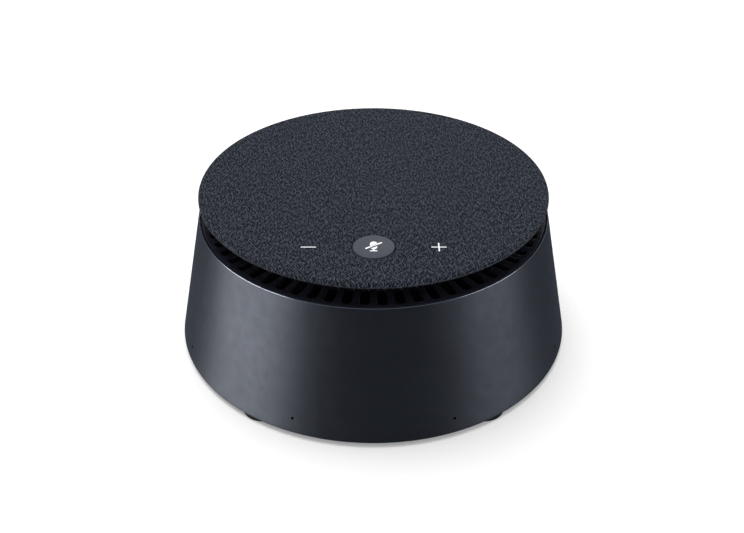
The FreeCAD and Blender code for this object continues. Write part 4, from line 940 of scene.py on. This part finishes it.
def lay_flat(piece, points):
    """Maps each row of the cloth to its place on the flat sheet, in metres: its direction from the
    middle stays, and past the top face its distance is the length of cloth it has gone round the edge."""
    steps = np.linalg.norm(np.diff(points, axis=0), axis=-1)
    length = np.concatenate([np.zeros((1, points.shape[1])), np.cumsum(steps, axis=0)])
    flat_distance = np.linalg.norm(points[..., :2], axis=-1)
    on_edge = np.arange(len(points)) >= COVER_ROWS
    flat_distance[on_edge] = flat_radius + (length - length[COVER_ROWS])[on_edge]
    direction = points[..., :2] / np.maximum(np.linalg.norm(points[..., :2], axis=-1, keepdims=True), 1e-9)
    flat = (direction * flat_distance[..., None]).reshape(-1, 2)
    corners = np.empty(len(piece.data.loops), np.int32)
    piece.data.loops.foreach_get("vertex_index", corners)
    layer = piece.data.uv_layers.new(name="flat_cloth")
    layer.data.foreach_set("uv", flat[corners].astype(np.float32).ravel())


lay_flat(cover, rows)
finished(cover, "housing", "table_fabric", "fabric_cover")

# %% [markdown]
# ## Mute button
#
# The button is a slightly domed disc with a soft edge. The icon is inlaid in it: half a microphone
# capsule on each side of a gap, a stem with a foot, and a slash with round ends.

# %% Button cap
cap_round = 0.4 * MM
dome = 0.12 * MM
cap_wall = 1.2 * MM
hollow_top = button_low.z + 1.5 * MM
flange_top = button_low.z + 0.8 * MM
cap_profile = np.vstack([
    [(0, hollow_top), (cap_radius - cap_wall, hollow_top), (cap_radius - cap_wall, button_low.z)],
    [(cap_radius + SKIRT_REACH, button_low.z), (cap_radius + SKIRT_REACH, flange_top)],
    [(cap_radius, flange_top)],
    arc((cap_radius - cap_round, button_top - dome - cap_round), cap_round, 0, 84, 7),
    [(cap_radius * share, button_top - dome * share ** 2 * 0.96) for share in (0.85, 0.7, 0.5, 0.25)],
    [(0, button_top)],
])
cap = turned_solid("button_cap", cap_profile, 180, centre=(0, button_y))
finished(cap, "mute_key", "button_grey", "mute_button")

# %% Icon
ICON_TOP = button_top + 0.03 * MM
ICON_DEPTH = 0.35 * MM
ICON_BEVEL = 0.05 * MM


def arc_points(centre, radius, start, end, steps=17):
    """Points on a circular arc in the plane of the icon, in millimetres about the button's centre."""
    angles = np.radians(np.linspace(start, end, steps))
    return [(centre[0] + radius * math.cos(a), centre[1] + radius * math.sin(a)) for a in angles]


def plate(name, outlines, low, high, centre):
    """Flat plates from closed anticlockwise outlines in millimetres, each with a small bevel on top. The
    bevel's inner line lies one bevel inside the outline, along the normal between a point's neighbours."""
    points, faces = np.empty((0, 3)), []
    for outline_points in outlines:
        ring = np.array(outline_points) * MM + np.array(centre)
        ahead = np.roll(ring, -1, axis=0) - ring
        behind = ring - np.roll(ring, 1, axis=0)
        normal = np.stack([ahead[:, 1] + behind[:, 1], -(ahead[:, 0] + behind[:, 0])], axis=1)
        normal /= np.linalg.norm(normal, axis=1, keepdims=True)
        small = ring - normal * ICON_BEVEL
        start, count = len(points), len(ring)
        levels = ((ring, low), (ring, high - ICON_BEVEL), (small, high))
        points = np.vstack([points] + [np.column_stack([flat, np.full(count, z)]) for flat, z in levels])
        faces += grid_faces(3, count, close_columns=True, offset=start).tolist()
        faces += [list(range(start, start + count))[::-1], list(range(start + 2 * count, start + 3 * count))]
    return mesh_from(name, points, faces, 40)


SLOPE = math.radians(34)
RISE = math.tan(SLOPE)
CAPSULE = 1.35
SLASH_MIDDLE = 0.4
GAP_LOW = -0.9


def slanted(x, offset):
    """Height of a line that is parallel to the slash."""
    return offset + RISE * x


upper = arc_points((0, 1.75), CAPSULE, 0, 180)
upper += [(-CAPSULE, slanted(-CAPSULE, SLASH_MIDDLE)), (CAPSULE, slanted(CAPSULE, SLASH_MIDDLE))]
lower = [(-0.95, slanted(-0.95, GAP_LOW))] + arc_points((0, -0.75), CAPSULE, 222, 360)
lower += [(CAPSULE, slanted(CAPSULE, GAP_LOW))]
stem = [(-0.37, -3.0), (0.37, -3.0), (0.37, -1.9), (-0.37, -1.9)]
foot = arc_points((1.12, -3.1), 0.32, -90, 90, 9) + arc_points((-1.12, -3.1), 0.32, 90, 270, 9)
HALF_SLASH = 3.35
HALF_STROKE = 0.4
reach_x, reach_y = HALF_SLASH * math.cos(SLOPE), HALF_SLASH * math.sin(SLOPE)
slope_degrees = math.degrees(SLOPE)
slash = arc_points((reach_x, SLASH_MIDDLE + reach_y), HALF_STROKE,
                   slope_degrees - 90, slope_degrees + 90, 11)
slash += arc_points((-reach_x, SLASH_MIDDLE - reach_y), HALF_STROKE,
                    slope_degrees + 90, slope_degrees + 270, 11)
icon = plate("mute_icon_inlay", [upper, lower, stem, foot, slash], button_top - ICON_DEPTH, ICON_TOP,
             centre=(0, button_y))
finished(icon, "mute_key", "white_inlay", "mute_icon")

# %% [markdown]
# ## Feet
#
# Each foot is a soft disc with a rounded edge and two shallow grooves underneath that grip the desk,
# under a narrower plug that sits in the base.

# %% Feet
PLUG_RADIUS = 6.0 * MM
PAD_GAP = 0.3 * MM
FOOT_ROUND = 0.4 * MM
PAD_ROUND = 0.2 * MM
GROOVE = 0.25 * MM
GROOVE_STEPS = [(0.0, 0), (0.30, 0), (0.34, 1), (0.42, 1), (0.46, 0),
                (0.62, 0), (0.66, 1), (0.74, 1), (0.78, 0)]
for number in range(1, 6):
    foot_low, foot_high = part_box(f"foot_{number}")
    middle = ((foot_low.x + foot_high.x) / 2, (foot_low.y + foot_high.y) / 2)
    pad_radius = (foot_high.x - foot_low.x) / 2
    pad_top = edge_z - PAD_GAP
    foot_profile = np.vstack([
        [(pad_radius * share, foot_low.z + GROOVE * deep) for share, deep in GROOVE_STEPS],
        arc((pad_radius - FOOT_ROUND, foot_low.z + FOOT_ROUND), FOOT_ROUND, -90, 0, 8),
        arc((pad_radius - PAD_ROUND, pad_top - PAD_ROUND), PAD_ROUND, 0, 90, 4),
        [(PLUG_RADIUS, pad_top), (PLUG_RADIUS, foot_high.z), (0, foot_high.z)],
    ])
    foot_piece = turned_solid(f"rubber_foot_{number}", foot_profile, 96, centre=middle)
    finished(foot_piece, "housing", "black_rubber", f"foot_{number}")
